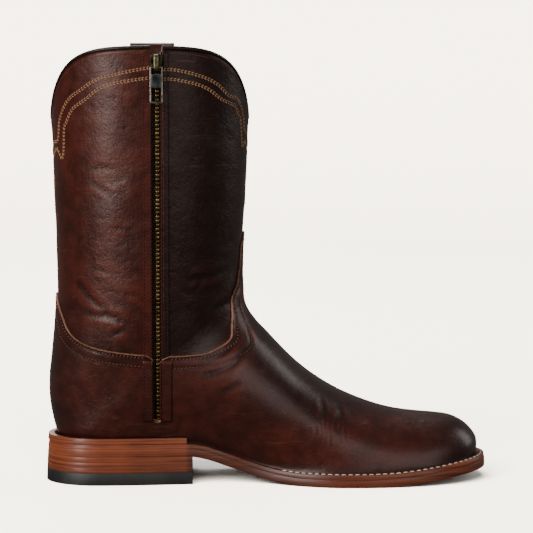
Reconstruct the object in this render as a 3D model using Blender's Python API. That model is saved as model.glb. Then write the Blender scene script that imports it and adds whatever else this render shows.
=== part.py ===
"""Left roper boot with a zip on its inner side, built as a bootmaker puts it together.

Metres, +Z up. The toe points to +X, the outer side of the foot is +Y and the zip is on the
inner side, -Y. The origin is on the floor, under the middle of the boot.
"""

from collections import namedtuple

import bmesh
import bpy
import numpy as np
from mathutils import Matrix, Vector
from mathutils.bvhtree import BVHTree

# Driving sizes of the sole
LENGTH = 0.305
BALL_WIDTH = 0.112
WAIST_WIDTH = 0.067
HEEL_WIDTH = 0.070
HEEL_LENGTH = 0.1005
OUTSOLE_THICKNESS = 0.0052
WELT_THICKNESS = 0.0032
RAND_THICKNESS = 0.0036
LIFT_THICKNESS = 0.0034
LIFT_COUNT = 3
TOP_PIECE_THICKNESS = 0.0080
TOE_SPRING = 0.0093
INSOLE_THICKNESS = 0.0030
WELT_INNER_MARGIN = 0.013

# Driving sizes of the upper
BOOT_HEIGHT = 0.2976
INSTEP_HEIGHT = 0.1375
COLLAR_WIDTH = 0.113
COLLAR_DIP = 0.0485
SHAFT_WALL = 0.0021
VAMP_STEP = 0.0014
SEAM_HEIGHT = 0.1087

# How far vamp and counter stand in from the sole's edge, where they meet the welt
BACK_MARGIN = 0.0074
HEEL_MARGIN = 0.0036
WAIST_MARGIN = 0.0024
BALL_MARGIN = 0.0052
TOE_MARGIN = 0.0062

# Collar bead, pull strap and zip
BEAD_RADIUS = 0.0012
STRAP_WIDTH = 0.032
STRAP_THICKNESS = 0.0018
STRAP_CENTRE = 0.0735
STRAP_LENGTH = 0.0760
STRAP_RISE = 0.0054
STRAP_STANDOFF = 0.0036
ZIP_LINE = 0.0765
ZIP_BOTTOM = 0.0440
SLOT_WIDTH = 0.0076
FACING_WIDTH = 0.0200
FACING_THICKNESS = 0.0009
FACING_END = 0.0025
TAPE_WIDTH = 0.0240
TAPE_THICKNESS = 0.0008
CHAIN_WIDTH = 0.0046
CHAIN_THICKNESS = 0.0014
TOOTH_PITCH = 0.0028
SLIDER_LENGTH = 0.0118
SLIDER_WIDTH = 0.0086
SLIDER_DROP = 0.0091
PULL_LENGTH = 0.0245
PULL_WIDTH = 0.0086
PULL_THICKNESS = 0.0012
PULL_HEIGHT = 0.0039
BRIDGE_WIDTH = 0.0034

GAP = 0.0003
EDGE_SLANT = 0.0008
EDGE_BEVEL = 0.0006

# Places along the sole, as shares of its length from the heel's back
WAIST_AT = 0.41
BALL_AT = 0.672
HEEL_SIDE_AT = 0.20
HEEL_ROUND = 0.125
TOE_POWER = 2.25
HEEL_POWER = 2.1

# Centre line of the sole: share of the length, offset to the outer side as a share of the ball width
SOLE_CENTRE = ((0.0, 0.0), (0.20, 0.0), (0.43, 0.036), (0.62, 0.030), (0.79, 0.008), (1.0, -0.045))

# Underside of the sole: share of the way from the heel's breast to the toe, height as a share of the
# heel's height
SOLE_ARCH = (
    (-0.490, 1.0),
    (-0.050, 1.0),
    (0.0, 0.967),
    (0.043, 0.875),
    (0.105, 0.656),
    (0.174, 0.396),
    (0.242, 0.177),
    (0.310, 0.047),
    (0.369, 0.0),
    (0.594, 0.0),
)
# Toe spring: share of the length, height as a share of the spring at the tip
SOLE_SPRING = ((0.728, 0.0), (0.787, 0.086), (0.846, 0.28), (0.905, 0.54), (0.951, 0.753), (1.0, 1.0))

# Rows of the foot, from the toe to the heel's back. base and top: where the row starts on the seat line
# and where it crosses the top line, as shares of the length. height: of its top over the floor, as a
# share of the instep height. side: how full it is, as a share of the ball width.
FootRow = namedtuple("FootRow", "base top height side")
FOOT_ROWS = (
    FootRow(0.97508, 0.9770, 0.1811, 0.000),
    FootRow(0.97311, 0.9754, 0.1993, 0.049),
    FootRow(0.96656, 0.9702, 0.2211, 0.085),
    FootRow(0.95475, 0.9593, 0.2502, 0.116),
    FootRow(0.93770, 0.9423, 0.2793, 0.143),
    FootRow(0.91475, 0.9174, 0.3025, 0.165),
    FootRow(0.88197, 0.8830, 0.3127, 0.188),
    FootRow(0.83279, 0.8321, 0.3222, 0.210),
    FootRow(0.77705, 0.7738, 0.3418, 0.241),
    FootRow(0.71803, 0.7098, 0.3869, 0.277),
    FootRow(0.65574, 0.6443, 0.4553, 0.312),
    FootRow(0.59016, 0.5770, 0.5578, 0.344),
    FootRow(0.51803, 0.5321, 0.6531, 0.366),
    FootRow(0.43934, 0.5023, 0.7222, 0.379),
    FootRow(0.35410, 0.4787, 0.7804, 0.379),
    FootRow(0.26885, 0.4610, 0.8276, 0.375),
    FootRow(0.19016, 0.4502, 0.8698, 0.375),
    FootRow(0.12459, 0.4452, 0.9062, 0.379),
    FootRow(0.07541, 0.4436, 0.9367, 0.393),
    FootRow(0.04426, 0.4430, 0.9615, 0.408),
    FootRow(0.03246, 0.4426, 0.9818, 0.418),
    FootRow(0.02884, 0.4426, 1.0000, 0.422),
)

# Rows of the leg above the heel's back. back and front: heights of the row's two ends, as shares of the
# boot's height. side: half width, as a share of the collar's half width.
LegRow = namedtuple("LegRow", "back front side")
LEG_ROWS = (
    LegRow(0.1210, 0.4731, 0.846),
    LegRow(0.1546, 0.4879, 0.855),
    LegRow(0.1983, 0.5084, 0.865),
    LegRow(0.2520, 0.5343, 0.876),
    LegRow(0.3125, 0.5645, 0.887),
    LegRow(0.3763, 0.5998, 0.899),
    LegRow(0.4435, 0.6384, 0.912),
    LegRow(0.5141, 0.6821, 0.926),
    LegRow(0.5880, 0.7292, 0.938),
)

# Back, front and side of the leg: height as a share of the boot's height, place as a share of the length,
# and half width as a share of the collar's half width
BACK_LINE = (
    (0.0948, 0.0289),
    (0.1075, 0.0252),
    (0.1277, 0.0197),
    (0.1478, 0.0151),
    (0.1747, 0.0098),
    (0.2050, 0.0072),
    (0.2352, 0.0085),
    (0.2688, 0.0121),
    (0.3159, 0.0170),
    (0.3730, 0.0223),
    (0.4335, 0.0249),
    (0.5007, 0.0246),
    (0.6250, 0.0210),
    (0.6855, 0.0190),
    (0.7796, 0.0164),
    (0.8401, 0.0131),
    (0.9241, 0.0089),
    (1.0081, 0.0052),
)
FRONT_LINE = (
    (0.3360, 0.4426),
    (0.4402, 0.4426),
    (0.4872, 0.4430),
    (0.5444, 0.4439),
    (0.6048, 0.4472),
    (0.6633, 0.4511),
    (0.7816, 0.4567),
    (0.8444, 0.4593),
    (1.0081, 0.4656),
)
SIDE_LINE = (
    (0.2688, 0.8372),
    (0.3259, 0.8584),
    (0.3898, 0.8779),
    (0.4234, 0.8850),
    (0.5007, 0.9027),
    (0.5813, 0.9204),
    (0.6620, 0.9381),
    (0.7392, 0.9504),
    (0.8233, 0.9646),
    (1.0081, 1.0000),
)

# Hollow under the ankle and round the heel: centre and reach along the length and over the floor, as
# shares of the length, and its depth as a share of the width
PINCH_CENTRE = (0.130, 0.180)
PINCH_REACH = (0.250, 0.200)
PINCH_DEPTH = 0.11

# How upright the side stands over the seat line, and how much rounder the heel is than the leg
SIDE_WALL = 0.085
HEEL_NARROWING = 0.31

# Upper edge of vamp and counter: angle round the leg from the front, height over the heel seat as a
# share of the seam height
SEAM = (
    (0.0, 1.314),
    (3.0, 1.305),
    (10.4, 1.231),
    (11.4, 1.100),
    (13.4, 1.010),
    (22.6, 0.909),
    (24.2, 0.808),
    (27.5, 0.743),
    (31.5, 0.665),
    (40.0, 0.610),
    (50.0, 0.575),
    (67.0, 0.568),
    (98.0, 0.580),
    (112.0, 0.590),
    (129.0, 0.608),
    (142.0, 0.638),
    (148.5, 0.665),
    (156.0, 0.720),
    (162.6, 0.805),
    (170.0, 0.872),
    (180.0, 0.935),
)
LEG_AXIS = 0.236
COLLAR_SPREAD = 25.0
COLLAR_POINT = 3.5

# Path of the pull strap in section: share of its length below its top, and distance from the middle of
# the shaft's wall as a share of how far it stands out from there
STRAP_PATH = (
    (1.000, 0.51),
    (0.816, 0.55),
    (0.553, 0.74),
    (0.290, 1.00),
    (0.105, 1.00),
    (0.033, 0.76),
    (0.005, 0.36),
    (0.000, 0.01),
    (0.005, -0.34),
    (0.033, -0.74),
    (0.105, -0.98),
    (0.290, -0.90),
    (0.526, -0.68),
    (0.737, -0.60),
)

# Where rows and columns of the upper's faces lie
FOOT_STEPS = (0, 0.4, 1, 1.6, 2.3, 3, 4, 5, 6, 7, 7.7, 8.3, 9, 9.7, 10.3, 11, 11.5, 12, 12.5)
FOOT_STEPS += (13, 13.4, 13.8, 14.1, 14.4, 14.7, 15, 16, 17, 18, 19, 20, 21)
LEG_STEPS = (22, 23, 24, 25, 26.5, 28, 30)
COLLAR_STEPS = (0.25, 0.5, 0.75, 1.0)
COLUMNS = (0, 6, 12, 18, 27, 38, 52, 68, 84, 100, 116, 131, 144, 155, 163, 169, 174.5, 180)
SHELL_STEPS = FOOT_STEPS + LEG_STEPS + tuple(30 + step for step in COLLAR_STEPS)


def smoothstep(t):
    t = np.clip(t, 0.0, 1.0)
    return t * t * (3 - 2 * t)


def bell(t):
    return np.clip(1 - t * t, 0.0, 1.0) ** 2


def monotone(table, x):
    """Smooth curve through the table's points that never overshoots them."""
    px, py = np.array(table, float).T
    step = np.diff(px)
    slope = np.diff(py) / step
    tangent = np.zeros(len(px))
    same = slope[:-1] * slope[1:] > 0
    before, after = slope[:-1][same], slope[1:][same]
    tangent[1:-1][same] = 2 * before * after / (before + after)
    tangent[0], tangent[-1] = slope[0], slope[-1]
    x = np.clip(x, px[0], px[-1])
    i = np.clip(np.searchsorted(px, x, side="right") - 1, 0, len(step) - 1)
    t = (x - px[i]) / step[i]
    s = 1 - t
    ends = py[i] * (1 + 2 * t) * s * s + py[i + 1] * t * t * (3 - 2 * t)
    return ends + step[i] * t * s * (tangent[i] * s - tangent[i + 1] * t)


def natural(places, values, x):
    """Natural cubic curve through the values at the places."""
    places, values = np.array(places, float), np.array(values, float)
    n, h = len(places), np.diff(places)
    matrix = np.zeros((n, n))
    right = np.zeros(n)
    matrix[0, 0] = matrix[-1, -1] = 1.0
    for i in range(1, n - 1):
        matrix[i, i - 1 : i + 2] = (h[i - 1], 2 * (h[i - 1] + h[i]), h[i])
        right[i] = 6 * ((values[i + 1] - values[i]) / h[i] - (values[i] - values[i - 1]) / h[i - 1])
    bend = np.linalg.solve(matrix, right)
    x = np.clip(x, places[0], places[-1])
    i = np.clip(np.searchsorted(places, x, side="right") - 1, 0, n - 2)
    t = (x - places[i]) / h[i]
    s = 1 - t
    line = s * values[i] + t * values[i + 1]
    return line + h[i] ** 2 / 6 * ((s**3 - s) * bend[i] + (t**3 - t) * bend[i + 1])


def along(table, x):
    places, values = zip(*table)
    return natural(places, values, x)


def rounding(distance, radius, power):
    """From 0 at an edge to 1 at radius from it, as a quarter of a superellipse."""
    t = np.clip(distance / radius, 0.0, 1.0)
    return (1 - (1 - t) ** power) ** (1 / power)


# Forms of the sole
Edge = namedtuple("Edge", "back tip heel waist ball")
SOLE_EDGE = Edge(0.0, LENGTH, HEEL_WIDTH / 2, WAIST_WIDTH / 2, BALL_WIDTH / 2)
HEEL_STACK = TOP_PIECE_THICKNESS + GAP + LIFT_COUNT * (LIFT_THICKNESS + GAP)


def inset(edge, by):
    """The same outline, moved inwards all round."""
    return Edge(edge.back + by, edge.tip - by, edge.heel - by, edge.waist - by, edge.ball - by)


def half_width(x, edge):
    """Half width of an outline at x, measured from the heel's back."""
    body = monotone(
        (
            (0.0, edge.heel),
            (HEEL_SIDE_AT * LENGTH, edge.heel),
            (WAIST_AT * LENGTH, edge.waist),
            (BALL_AT * LENGTH, edge.ball),
            (LENGTH, edge.ball),
        ),
        x,
    )
    toe = rounding(edge.tip - x, edge.tip - BALL_AT * LENGTH, TOE_POWER)
    return body * toe * rounding(x - edge.back, HEEL_ROUND * LENGTH, HEEL_POWER)


def sole_centre(x):
    return along([(share * LENGTH, offset * BALL_WIDTH) for share, offset in SOLE_CENTRE], x)


def sole_bottom(x):
    arch = HEEL_STACK * monotone(SOLE_ARCH, (x - HEEL_LENGTH) / (LENGTH - HEEL_LENGTH))
    return arch + TOE_SPRING * monotone(SOLE_SPRING, x / LENGTH)


def over_sole(height):
    return lambda x: sole_bottom(x) + height


def level(height):
    return lambda x: np.full(np.shape(x), float(height))


WELT_BOTTOM = OUTSOLE_THICKNESS + GAP
WELT_TOP = WELT_BOTTOM + WELT_THICKNESS
SEAT = WELT_TOP + 1.5 * GAP

# Forms of the upper
FEATHER = Edge(
    BACK_MARGIN + VAMP_STEP,
    LENGTH - TOE_MARGIN - VAMP_STEP,
    HEEL_WIDTH / 2 - HEEL_MARGIN - VAMP_STEP,
    WAIST_WIDTH / 2 - WAIST_MARGIN - VAMP_STEP,
    BALL_WIDTH / 2 - BALL_MARGIN - VAMP_STEP,
)
HEEL_SEAT = float(sole_bottom(FEATHER.back)) + SEAT
CORNER = len(FOOT_ROWS) - 1
LAST_LEG = CORNER + len(LEG_ROWS)


def leg_end(table, z):
    return LENGTH * along(table, z / BOOT_HEIGHT)


def collar(x, half):
    """Height of the collar at a place on the leg: scalloped down at the front and at the back."""
    angle = np.degrees(np.arctan2(half, np.abs(x - LEG_AXIS * LENGTH)))
    spread = ((angle**2 + COLLAR_POINT**2) ** 0.5 / COLLAR_SPREAD) ** 1.5
    return BOOT_HEIGHT - COLLAR_DIP * np.exp((COLLAR_POINT / COLLAR_SPREAD) ** 1.5 - spread)


def upper_point(u, angle, side):
    """A point of the upper's outer face.

    u runs from the toe over the heel's corner to the last slanted row of the leg and on to the collar,
    angle from the back or the seat line (0) to the front or the top line (180), side is -1 or 1.
    """
    q = (1 - np.cos(np.radians(angle))) / 2
    row = np.minimum(u, LAST_LEG)
    top_x = [r.top * LENGTH for r in FOOT_ROWS]
    top_x += [leg_end(FRONT_LINE, r.front * BOOT_HEIGHT) for r in LEG_ROWS]
    top_z = [r.height * INSTEP_HEIGHT for r in FOOT_ROWS] + [r.front * BOOT_HEIGHT for r in LEG_ROWS]
    sides = [r.side * BALL_WIDTH for r in FOOT_ROWS] + [r.side * COLLAR_WIDTH / 2 for r in LEG_ROWS]
    places = range(LAST_LEG + 1)
    base_x = natural(range(CORNER + 1), [r.base * LENGTH for r in FOOT_ROWS], np.minimum(row, CORNER))
    rises = [HEEL_SEAT] + [r.back * BOOT_HEIGHT for r in LEG_ROWS]
    back_z = natural(range(CORNER, LAST_LEG + 1), rises, np.maximum(row, CORNER))
    on_foot = row <= CORNER
    base_x = np.where(on_foot, np.clip(base_x, FEATHER.back, FEATHER.tip), leg_end(BACK_LINE, back_z))
    base_z = np.where(on_foot, sole_bottom(base_x) + SEAT, back_z)
    feather = np.where(on_foot, half_width(base_x, FEATHER), 0.0)
    end_x, end_z = natural(places, top_x, row), natural(places, top_z, row)
    full = natural(places, sides, row)
    x = base_x + q * (end_x - base_x)
    z = base_z + q * (end_z - base_z)

    # The slanted rows pass little by little into the leg's own lines
    share = smoothstep((row - CORNER - 2) / (LAST_LEG - CORNER - 2))
    climb = np.clip(u - LAST_LEG, 0.0, 1.0)
    for _ in range(3):
        back, front = leg_end(BACK_LINE, z), leg_end(FRONT_LINE, z)
        lined = back + q * (front - back)
        around = COLLAR_WIDTH / 2 * along(SIDE_LINE, z / BOOT_HEIGHT)
        width = full + share * (around - full)
        heel_share = np.where(on_foot, feather / FEATHER.heel, (row - CORNER) / (LAST_LEG - CORNER))
        round_heel = 1 - HEEL_NARROWING * (1 - smoothstep(heel_share)) * (1 - q) ** 3
        flat = SIDE_WALL * (feather / FEATHER.heel) ** 4 / (1 + 0.4 * (feather / FEATHER.heel) ** 2)
        fill = round_heel * q * q / np.maximum(q + flat, 1e-9)
        half = ((1 - q) * (feather**2 + 4 * width**2 * fill)) ** 0.5
        level_z = base_z + q * (end_z - base_z)
        z = level_z + climb * (collar(lined, half) - level_z)
    x = x + share * (lined - x)
    pinch = bell((x / LENGTH - PINCH_CENTRE[0]) / PINCH_REACH[0])
    pinch *= bell((z / LENGTH - PINCH_CENTRE[1]) / PINCH_REACH[1])
    pinch *= smoothstep((z - sole_bottom(x) - SEAT) / HEEL_STACK)
    half = half * (1 - PINCH_DEPTH * pinch)
    centre = sole_centre(x) * (1 - smoothstep(2 * z / INSTEP_HEIGHT - 0.73))
    return np.array((x, centre + side * half, z))


def upper_surface(steps, columns):
    """The upper's outer face as an open surface."""
    bm = bmesh.new()
    grids = []
    for side in (-1, 1):
        u, angle = np.meshgrid(steps, columns, indexing="ij")
        points = upper_point(u.astype(float), angle.astype(float), side)
        grids.append([[bm.verts.new(points[:, i, j]) for j in range(len(columns))] for i in range(len(steps))])
    for grid in grids:
        for low, high in zip(grid, grid[1:]):
            for j in range(len(columns) - 1):
                bm.faces.new((low[j], low[j + 1], high[j + 1], high[j]))
    bmesh.ops.remove_doubles(bm, verts=bm.verts, dist=1e-6)
    bmesh.ops.recalc_face_normals(bm, faces=bm.faces)
    bm.normal_update()
    return bm


def over_seam(place):
    """How far a point of the leg lies above the upper edge of vamp and counter."""
    angle = np.degrees(np.arctan2(abs(place.y), place.x - LEG_AXIS * LENGTH))
    return float(place.z - HEEL_SEAT - SEAM_HEIGHT * monotone(SEAM, angle))


def split_at_seam(bm):
    """Cut the faces along the seam and return the new points on it."""
    height = {v: over_seam(v.co) for v in bm.verts}
    seam = []
    for edge in list(bm.edges):
        one, two = edge.verts
        if height[one] * height[two] >= 0:
            continue
        low, high = 0.0, 1.0
        for _ in range(24):
            t = (low + high) / 2
            if over_seam(one.co.lerp(two.co, t)) * height[one] > 0:
                low = t
            else:
                high = t
        t = min(max(t, 0.04), 0.96)
        point = bmesh.utils.edge_split(edge, one, t)[1]
        height[point] = 0.0
        seam.append(point)
    bmesh.ops.connect_verts(bm, verts=seam)
    return set(seam), height


def shell():
    """The upper: a closed wall whose foot stands out from the shaft by one layer."""
    bm = upper_surface(SHELL_STEPS, COLUMNS)
    seam, height = split_at_seam(bm)
    bm.normal_update()
    middle = sum((v.co for v in bm.verts), Vector()) / len(bm.verts)
    turn = 1 if sum((v.co - middle).dot(v.normal) for v in bm.verts) > 0 else -1
    made = bmesh.new()
    inner, low, high = {}, {}, {}
    for v in bm.verts:
        over_seat = v.co.z - float(sole_bottom(v.co.x)) - SEAT
        out = v.normal * turn
        out.z *= 0.0 if v.is_boundary else min(max(over_seat / (3 * SHAFT_WALL), 0.0), 1.0)
        out.normalize()
        places = [v.co - out * SHAFT_WALL, v.co + out * VAMP_STEP, v.co]
        if v.is_boundary and over_seat < VAMP_STEP:
            for place in places:
                place.z = sole_bottom(place.x) + SEAT
        inner[v] = made.verts.new(places[0])
        if v in seam or height[v] < 0:
            low[v] = made.verts.new(places[1])
        if v in seam or height[v] >= 0:
            high[v] = made.verts.new(places[2])
    for face in bm.faces:
        below = sum(height[v] for v in face.verts) < 0
        side = low if below else high
        made.faces.new([side[v] for v in face.verts])
        made.faces.new([inner[v] for v in reversed(face.verts)])
    for edge in bm.edges:
        a, b = edge.verts
        if edge.is_boundary:
            side = low if a in low and b in low else high
            made.faces.new((side[a], side[b], inner[b], inner[a]))
        elif a in seam and b in seam:
            made.faces.new((low[a], low[b], high[b], high[a]))
    bm.free()
    bmesh.ops.recalc_face_normals(made, faces=made.faces)
    return made


# Making objects
bpy.ops.object.select_all(action="DESELECT")
for thing in list(bpy.data.objects):
    bpy.data.objects.remove(thing, do_unlink=True)
scene = bpy.context.scene
scene.unit_settings.system = "METRIC"
scene.unit_settings.length_unit = "MILLIMETERS"
ORIGIN = Vector((LENGTH / 2, 0.0, 0.0))


def material(name, colour, roughness, metallic=0.0):
    made = bpy.data.materials.new(name)
    made.use_nodes = True
    shader = made.node_tree.nodes["Principled BSDF"]
    shader.inputs["Base Color"].default_value = (*colour, 1.0)
    shader.inputs["Roughness"].default_value = roughness
    shader.inputs["Metallic"].default_value = metallic
    return made


def finish(name, bm, made, sharp=35.0, smooth=True):
    """Turn a bmesh, in sizes from the heel's back, into an object of its own."""
    bmesh.ops.remove_doubles(bm, verts=bm.verts, dist=2e-6)
    bmesh.ops.recalc_face_normals(bm, faces=bm.faces)
    bmesh.ops.translate(bm, verts=bm.verts, vec=-ORIGIN)
    mesh = bpy.data.meshes.new(name)
    bm.to_mesh(mesh)
    bm.free()
    for polygon in mesh.polygons:
        polygon.use_smooth = smooth
    mesh.set_sharp_from_angle(angle=np.radians(sharp))
    mesh.materials.append(made)
    obj = bpy.data.objects.new(name, mesh)
    scene.collection.objects.link(obj)
    return obj


def combine(obj, tool, operation):
    """Join or cut with a helper body, then drop the helper."""
    modifier = obj.modifiers.new(operation, "BOOLEAN")
    modifier.object = tool
    modifier.operation = operation
    modifier.solver = "EXACT"
    graph = bpy.context.evaluated_depsgraph_get()
    mesh = bpy.data.meshes.new_from_object(obj.evaluated_get(graph))
    obj.modifiers.remove(modifier)
    obj.data = mesh
    bpy.data.objects.remove(tool, do_unlink=True)


def drop_crumbs(obj):
    """Keep only the body's largest connected piece."""
    bm = bmesh.new()
    bm.from_mesh(obj.data)
    left, pieces = set(bm.faces), []
    while left:
        piece, edge = set(), [left.pop()]
        while edge:
            face = edge.pop()
            piece.add(face)
            near = {f for e in face.edges for f in e.link_faces} & left
            left -= near
            edge.extend(near)
        pieces.append(piece)
    pieces.sort(key=len)
    for piece in pieces[:-1]:
        bmesh.ops.delete(bm, geom=list(piece), context="FACES")
    bm.to_mesh(obj.data)
    bm.free()


def side_rings(edge, end, height, steps, reach):
    """Points of one outline, from the heel's back to its front end, on both sides."""
    t = np.linspace(0.0, 1.0, steps + 1)
    span = (1 - np.cos(np.pi * t)) / 2 if reach == "toe" else 1 - np.cos(np.pi / 2 * t)
    x = edge.back + (end - edge.back) * span
    half = half_width(x, edge)
    if reach == "toe":
        half[-1] = 0.0
    centre, z = sole_centre(x), height(x)
    return [np.array((x, centre + side * half, z)).T for side in (-1, 1)]


def slab(name, made, rings, steps, reach="toe", hollow=False):
    """A sole piece from rings of (outline, front end, height), bottom ring first."""
    bm = bmesh.new()
    loops = []
    for edge, end, height in rings:
        loops.append([[bm.verts.new(p) for p in side] for side in side_rings(edge, end, height, steps, reach)])
    pairs = list(zip(loops, loops[1:]))
    if hollow:
        pairs.append((loops[-1], loops[0]))
    for lower, upper in pairs:
        for side in (0, 1):
            for i in range(steps):
                low, high = lower[side], upper[side]
                bm.faces.new((low[i], low[i + 1], high[i + 1], high[i]))
    if not hollow:
        for loop in (loops[0], loops[-1]):
            for i in range(steps):
                bm.faces.new((loop[0][i], loop[0][i + 1], loop[1][i + 1], loop[1][i]))
    if reach == "breast":
        for side in (0, 1):
            end = [loop[side][-1] for loop in loops]
            if hollow:
                bm.faces.new(end)
        if not hollow:
            for lower, upper in zip(loops, loops[1:]):
                bm.faces.new((lower[0][-1], lower[1][-1], upper[1][-1], upper[0][-1]))
    bmesh.ops.remove_doubles(bm, verts=bm.verts, dist=2e-6)
    bmesh.ops.dissolve_degenerate(bm, edges=bm.edges, dist=1e-6)
    return finish(name, bm, made)


# Materials
shaft_leather = material("boot_leather", (0.085, 0.020, 0.012), 0.35)
edge_leather = material("edge_leather", (0.035, 0.012, 0.008), 0.35)
strap_leather = material("strap_leather", (0.07, 0.018, 0.011), 0.4)
stack_leather = material("stacked_leather", (0.16, 0.055, 0.028), 0.45)
black_rubber = material("black_rubber", (0.012, 0.012, 0.012), 0.6)
insole_board = material("insole_board", (0.42, 0.23, 0.10), 0.8)
bead_leather = material("collar_leather", (0.018, 0.010, 0.009), 0.45)
tape_cloth = material("zip_tape_cloth", (0.02, 0.014, 0.013), 0.9)
old_brass = material("old_brass", (0.30, 0.20, 0.09), 0.4, 1.0)

# Heel, from the floor upwards
z = 0.0
breast = HEEL_LENGTH
heel_edge = inset(SOLE_EDGE, -EDGE_SLANT)
pieces = [("heel_top_piece", TOP_PIECE_THICKNESS, black_rubber)]
pieces += [(f"heel_lift_{i + 1}", LIFT_THICKNESS, stack_leather) for i in range(LIFT_COUNT)]
for name, thickness, made in pieces:
    bevel = EDGE_BEVEL if made is black_rubber else EDGE_BEVEL / 2
    last = name == pieces[-1][0]
    low, high = inset(heel_edge, z * 0.045), inset(heel_edge, (z + thickness) * 0.045)
    slab(
        name,
        made,
        (
            (inset(low, bevel), breast - bevel, level(z)),
            (low, breast, level(z + bevel)),
            (high, breast, over_sole(-GAP - bevel) if last else level(z + thickness - bevel)),
            (inset(high, bevel), breast - bevel, over_sole(-GAP) if last else level(z + thickness)),
        ),
        14,
        "breast",
    )
    z += thickness + GAP

# Outsole, welt and the rand round the heel seat
slab(
    "outsole",
    edge_leather,
    (
        (inset(SOLE_EDGE, EDGE_BEVEL), LENGTH - EDGE_BEVEL, over_sole(0.0)),
        (SOLE_EDGE, LENGTH, over_sole(EDGE_BEVEL)),
        (inset(SOLE_EDGE, EDGE_SLANT), LENGTH - EDGE_SLANT, over_sole(OUTSOLE_THICKNESS)),
    ),
    60,
)
outer_welt = inset(SOLE_EDGE, EDGE_SLANT)
upper_welt = inset(SOLE_EDGE, EDGE_SLANT * 1.8)
inner_welt = inset(SOLE_EDGE, WELT_INNER_MARGIN)
slab(
    "welt",
    edge_leather,
    (
        (outer_welt, outer_welt.tip, over_sole(WELT_BOTTOM)),
        (upper_welt, upper_welt.tip, over_sole(WELT_TOP)),
        (inner_welt, inner_welt.tip, over_sole(WELT_TOP)),
        (inner_welt, inner_welt.tip, over_sole(WELT_BOTTOM)),
    ),
    60,
    hollow=True,
)
rand_low = inset(FEATHER, -VAMP_STEP - 4 * GAP)
rand_high = rand_low._replace(back=rand_low.back - 5 * GAP, heel=rand_low.heel + 3 * GAP)
slab(
    "heel_rand",
    edge_leather,
    (
        (inset(SOLE_EDGE, GAP), breast - 0.004, over_sole(SEAT)),
        (inset(SOLE_EDGE, EDGE_BEVEL), breast - 0.008, over_sole(SEAT + RAND_THICKNESS)),
        (rand_high, breast - 0.008, over_sole(SEAT + RAND_THICKNESS)),
        (rand_low, breast - 0.004, over_sole(SEAT)),
    ),
    14,
    "breast",
    hollow=True,
)

# Insole, inside the upper
bed = inset(FEATHER, SHAFT_WALL + 7 * GAP)
slab(
    "insole",
    insole_board,
    (
        (bed, bed.tip, over_sole(SEAT + GAP)),
        (bed, bed.tip, over_sole(SEAT + GAP + INSOLE_THICKNESS)),
    ),
    60,
)

# Upper: a thin shaft and foot in one, with the foot's second layer as a step on it
upper = finish("upper", shell(), shaft_leather)
axis = Vector((LEG_AXIS * LENGTH, 0.0, 0.0))

# The surface again, fine, to set small pieces on it
fine = upper_surface(np.linspace(0, LAST_LEG + 1, 241), np.linspace(0, 180, 61))
tree = BVHTree.FromBMesh(fine)


def on_side(x, z, side):
    """Place and outward direction of the upper's face at x, z on one side."""

    def depth(px, pz):
        hit = tree.ray_cast(Vector((px, side * 0.2, pz)), Vector((0, -side, 0)))[0]
        return hit.y if hit else None

    y = depth(x, z)
    step = 0.002
    ends = [depth(x + step, z), depth(x - step, z), depth(x, z + step), depth(x, z - step)]
    ends = [y if e is None else e for e in ends]
    out = Vector((-side * (ends[0] - ends[1]) / (2 * step), 1.0, -side * (ends[2] - ends[3]) / (2 * step)))
    out.y = 1.0
    out = Vector((out.x, out.y, out.z)).normalized()
    out.y *= side
    return Vector((x, y, z)), out


def strip(name, made, across, rows, side):
    """A curved strip that follows the upper.

    across: distances from the zip or strap line. rows: (height, outer offset, inner offset).
    """
    bm = bmesh.new()
    outer, inner = [], []
    for z, out_by, in_by in rows:
        outer.append([])
        inner.append([])
        for x in across:
            place, out = on_side(x, min(z, BOOT_HEIGHT - 0.002), side)
            place.z = z
            outer[-1].append(bm.verts.new(place + out * out_by))
            inner[-1].append(bm.verts.new(place + out * in_by))
    for grid in (outer, inner):
        for low, high in zip(grid, grid[1:]):
            for j in range(len(across) - 1):
                bm.faces.new((low[j], low[j + 1], high[j + 1], high[j]))
    for i in range(len(rows) - 1):
        for j in (0, -1):
            bm.faces.new((outer[i][j], outer[i + 1][j], inner[i + 1][j], inner[i][j]))
    for i in (0, -1):
        for j in range(len(across) - 1):
            bm.faces.new((outer[i][j], outer[i][j + 1], inner[i][j + 1], inner[i][j]))
    return finish(name, bm, made)


def box(name, low, high, made=old_brass):
    """A plain block between two corners."""
    bm = bmesh.new()
    bmesh.ops.create_cube(bm, size=1.0)
    size = Vector(high) - Vector(low)
    bmesh.ops.scale(bm, verts=bm.verts, vec=size)
    bmesh.ops.translate(bm, verts=bm.verts, vec=(Vector(high) + Vector(low)) / 2)
    return finish(name, bm, made)


# Zip facing, a further layer on the inner side, and the slot cut through it and the wall
seam_z = HEEL_SEAT + SEAM_HEIGHT * float(monotone(SEAM, 90.0))
low_rows = np.linspace(ZIP_BOTTOM - FACING_END, seam_z - 2 * VAMP_STEP, 5)
high_rows = np.linspace(seam_z + 2 * VAMP_STEP, BOOT_HEIGHT - 3 * GAP, 10)
facing_rows = [(z, VAMP_STEP + FACING_THICKNESS, -SHAFT_WALL / 2) for z in low_rows]
facing_rows += [(z, FACING_THICKNESS, -SHAFT_WALL / 2) for z in high_rows]
half = FACING_WIDTH / 2
places = [ZIP_LINE + half * share for share in (-1.0, -0.6, -0.2, 0.2, 0.6, 1.0)]
combine(upper, strip("facing", shaft_leather, places, facing_rows, -1), "UNION")
slot = (ZIP_LINE - SLOT_WIDTH / 2, ZIP_LINE + SLOT_WIDTH / 2)
slot_low = (slot[0], -COLLAR_WIDTH, ZIP_BOTTOM)
combine(upper, box("slot_tool", slot_low, (slot[1], -COLLAR_WIDTH / 9, 1.2 * BOOT_HEIGHT)), "DIFFERENCE")
drop_crumbs(upper)

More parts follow.
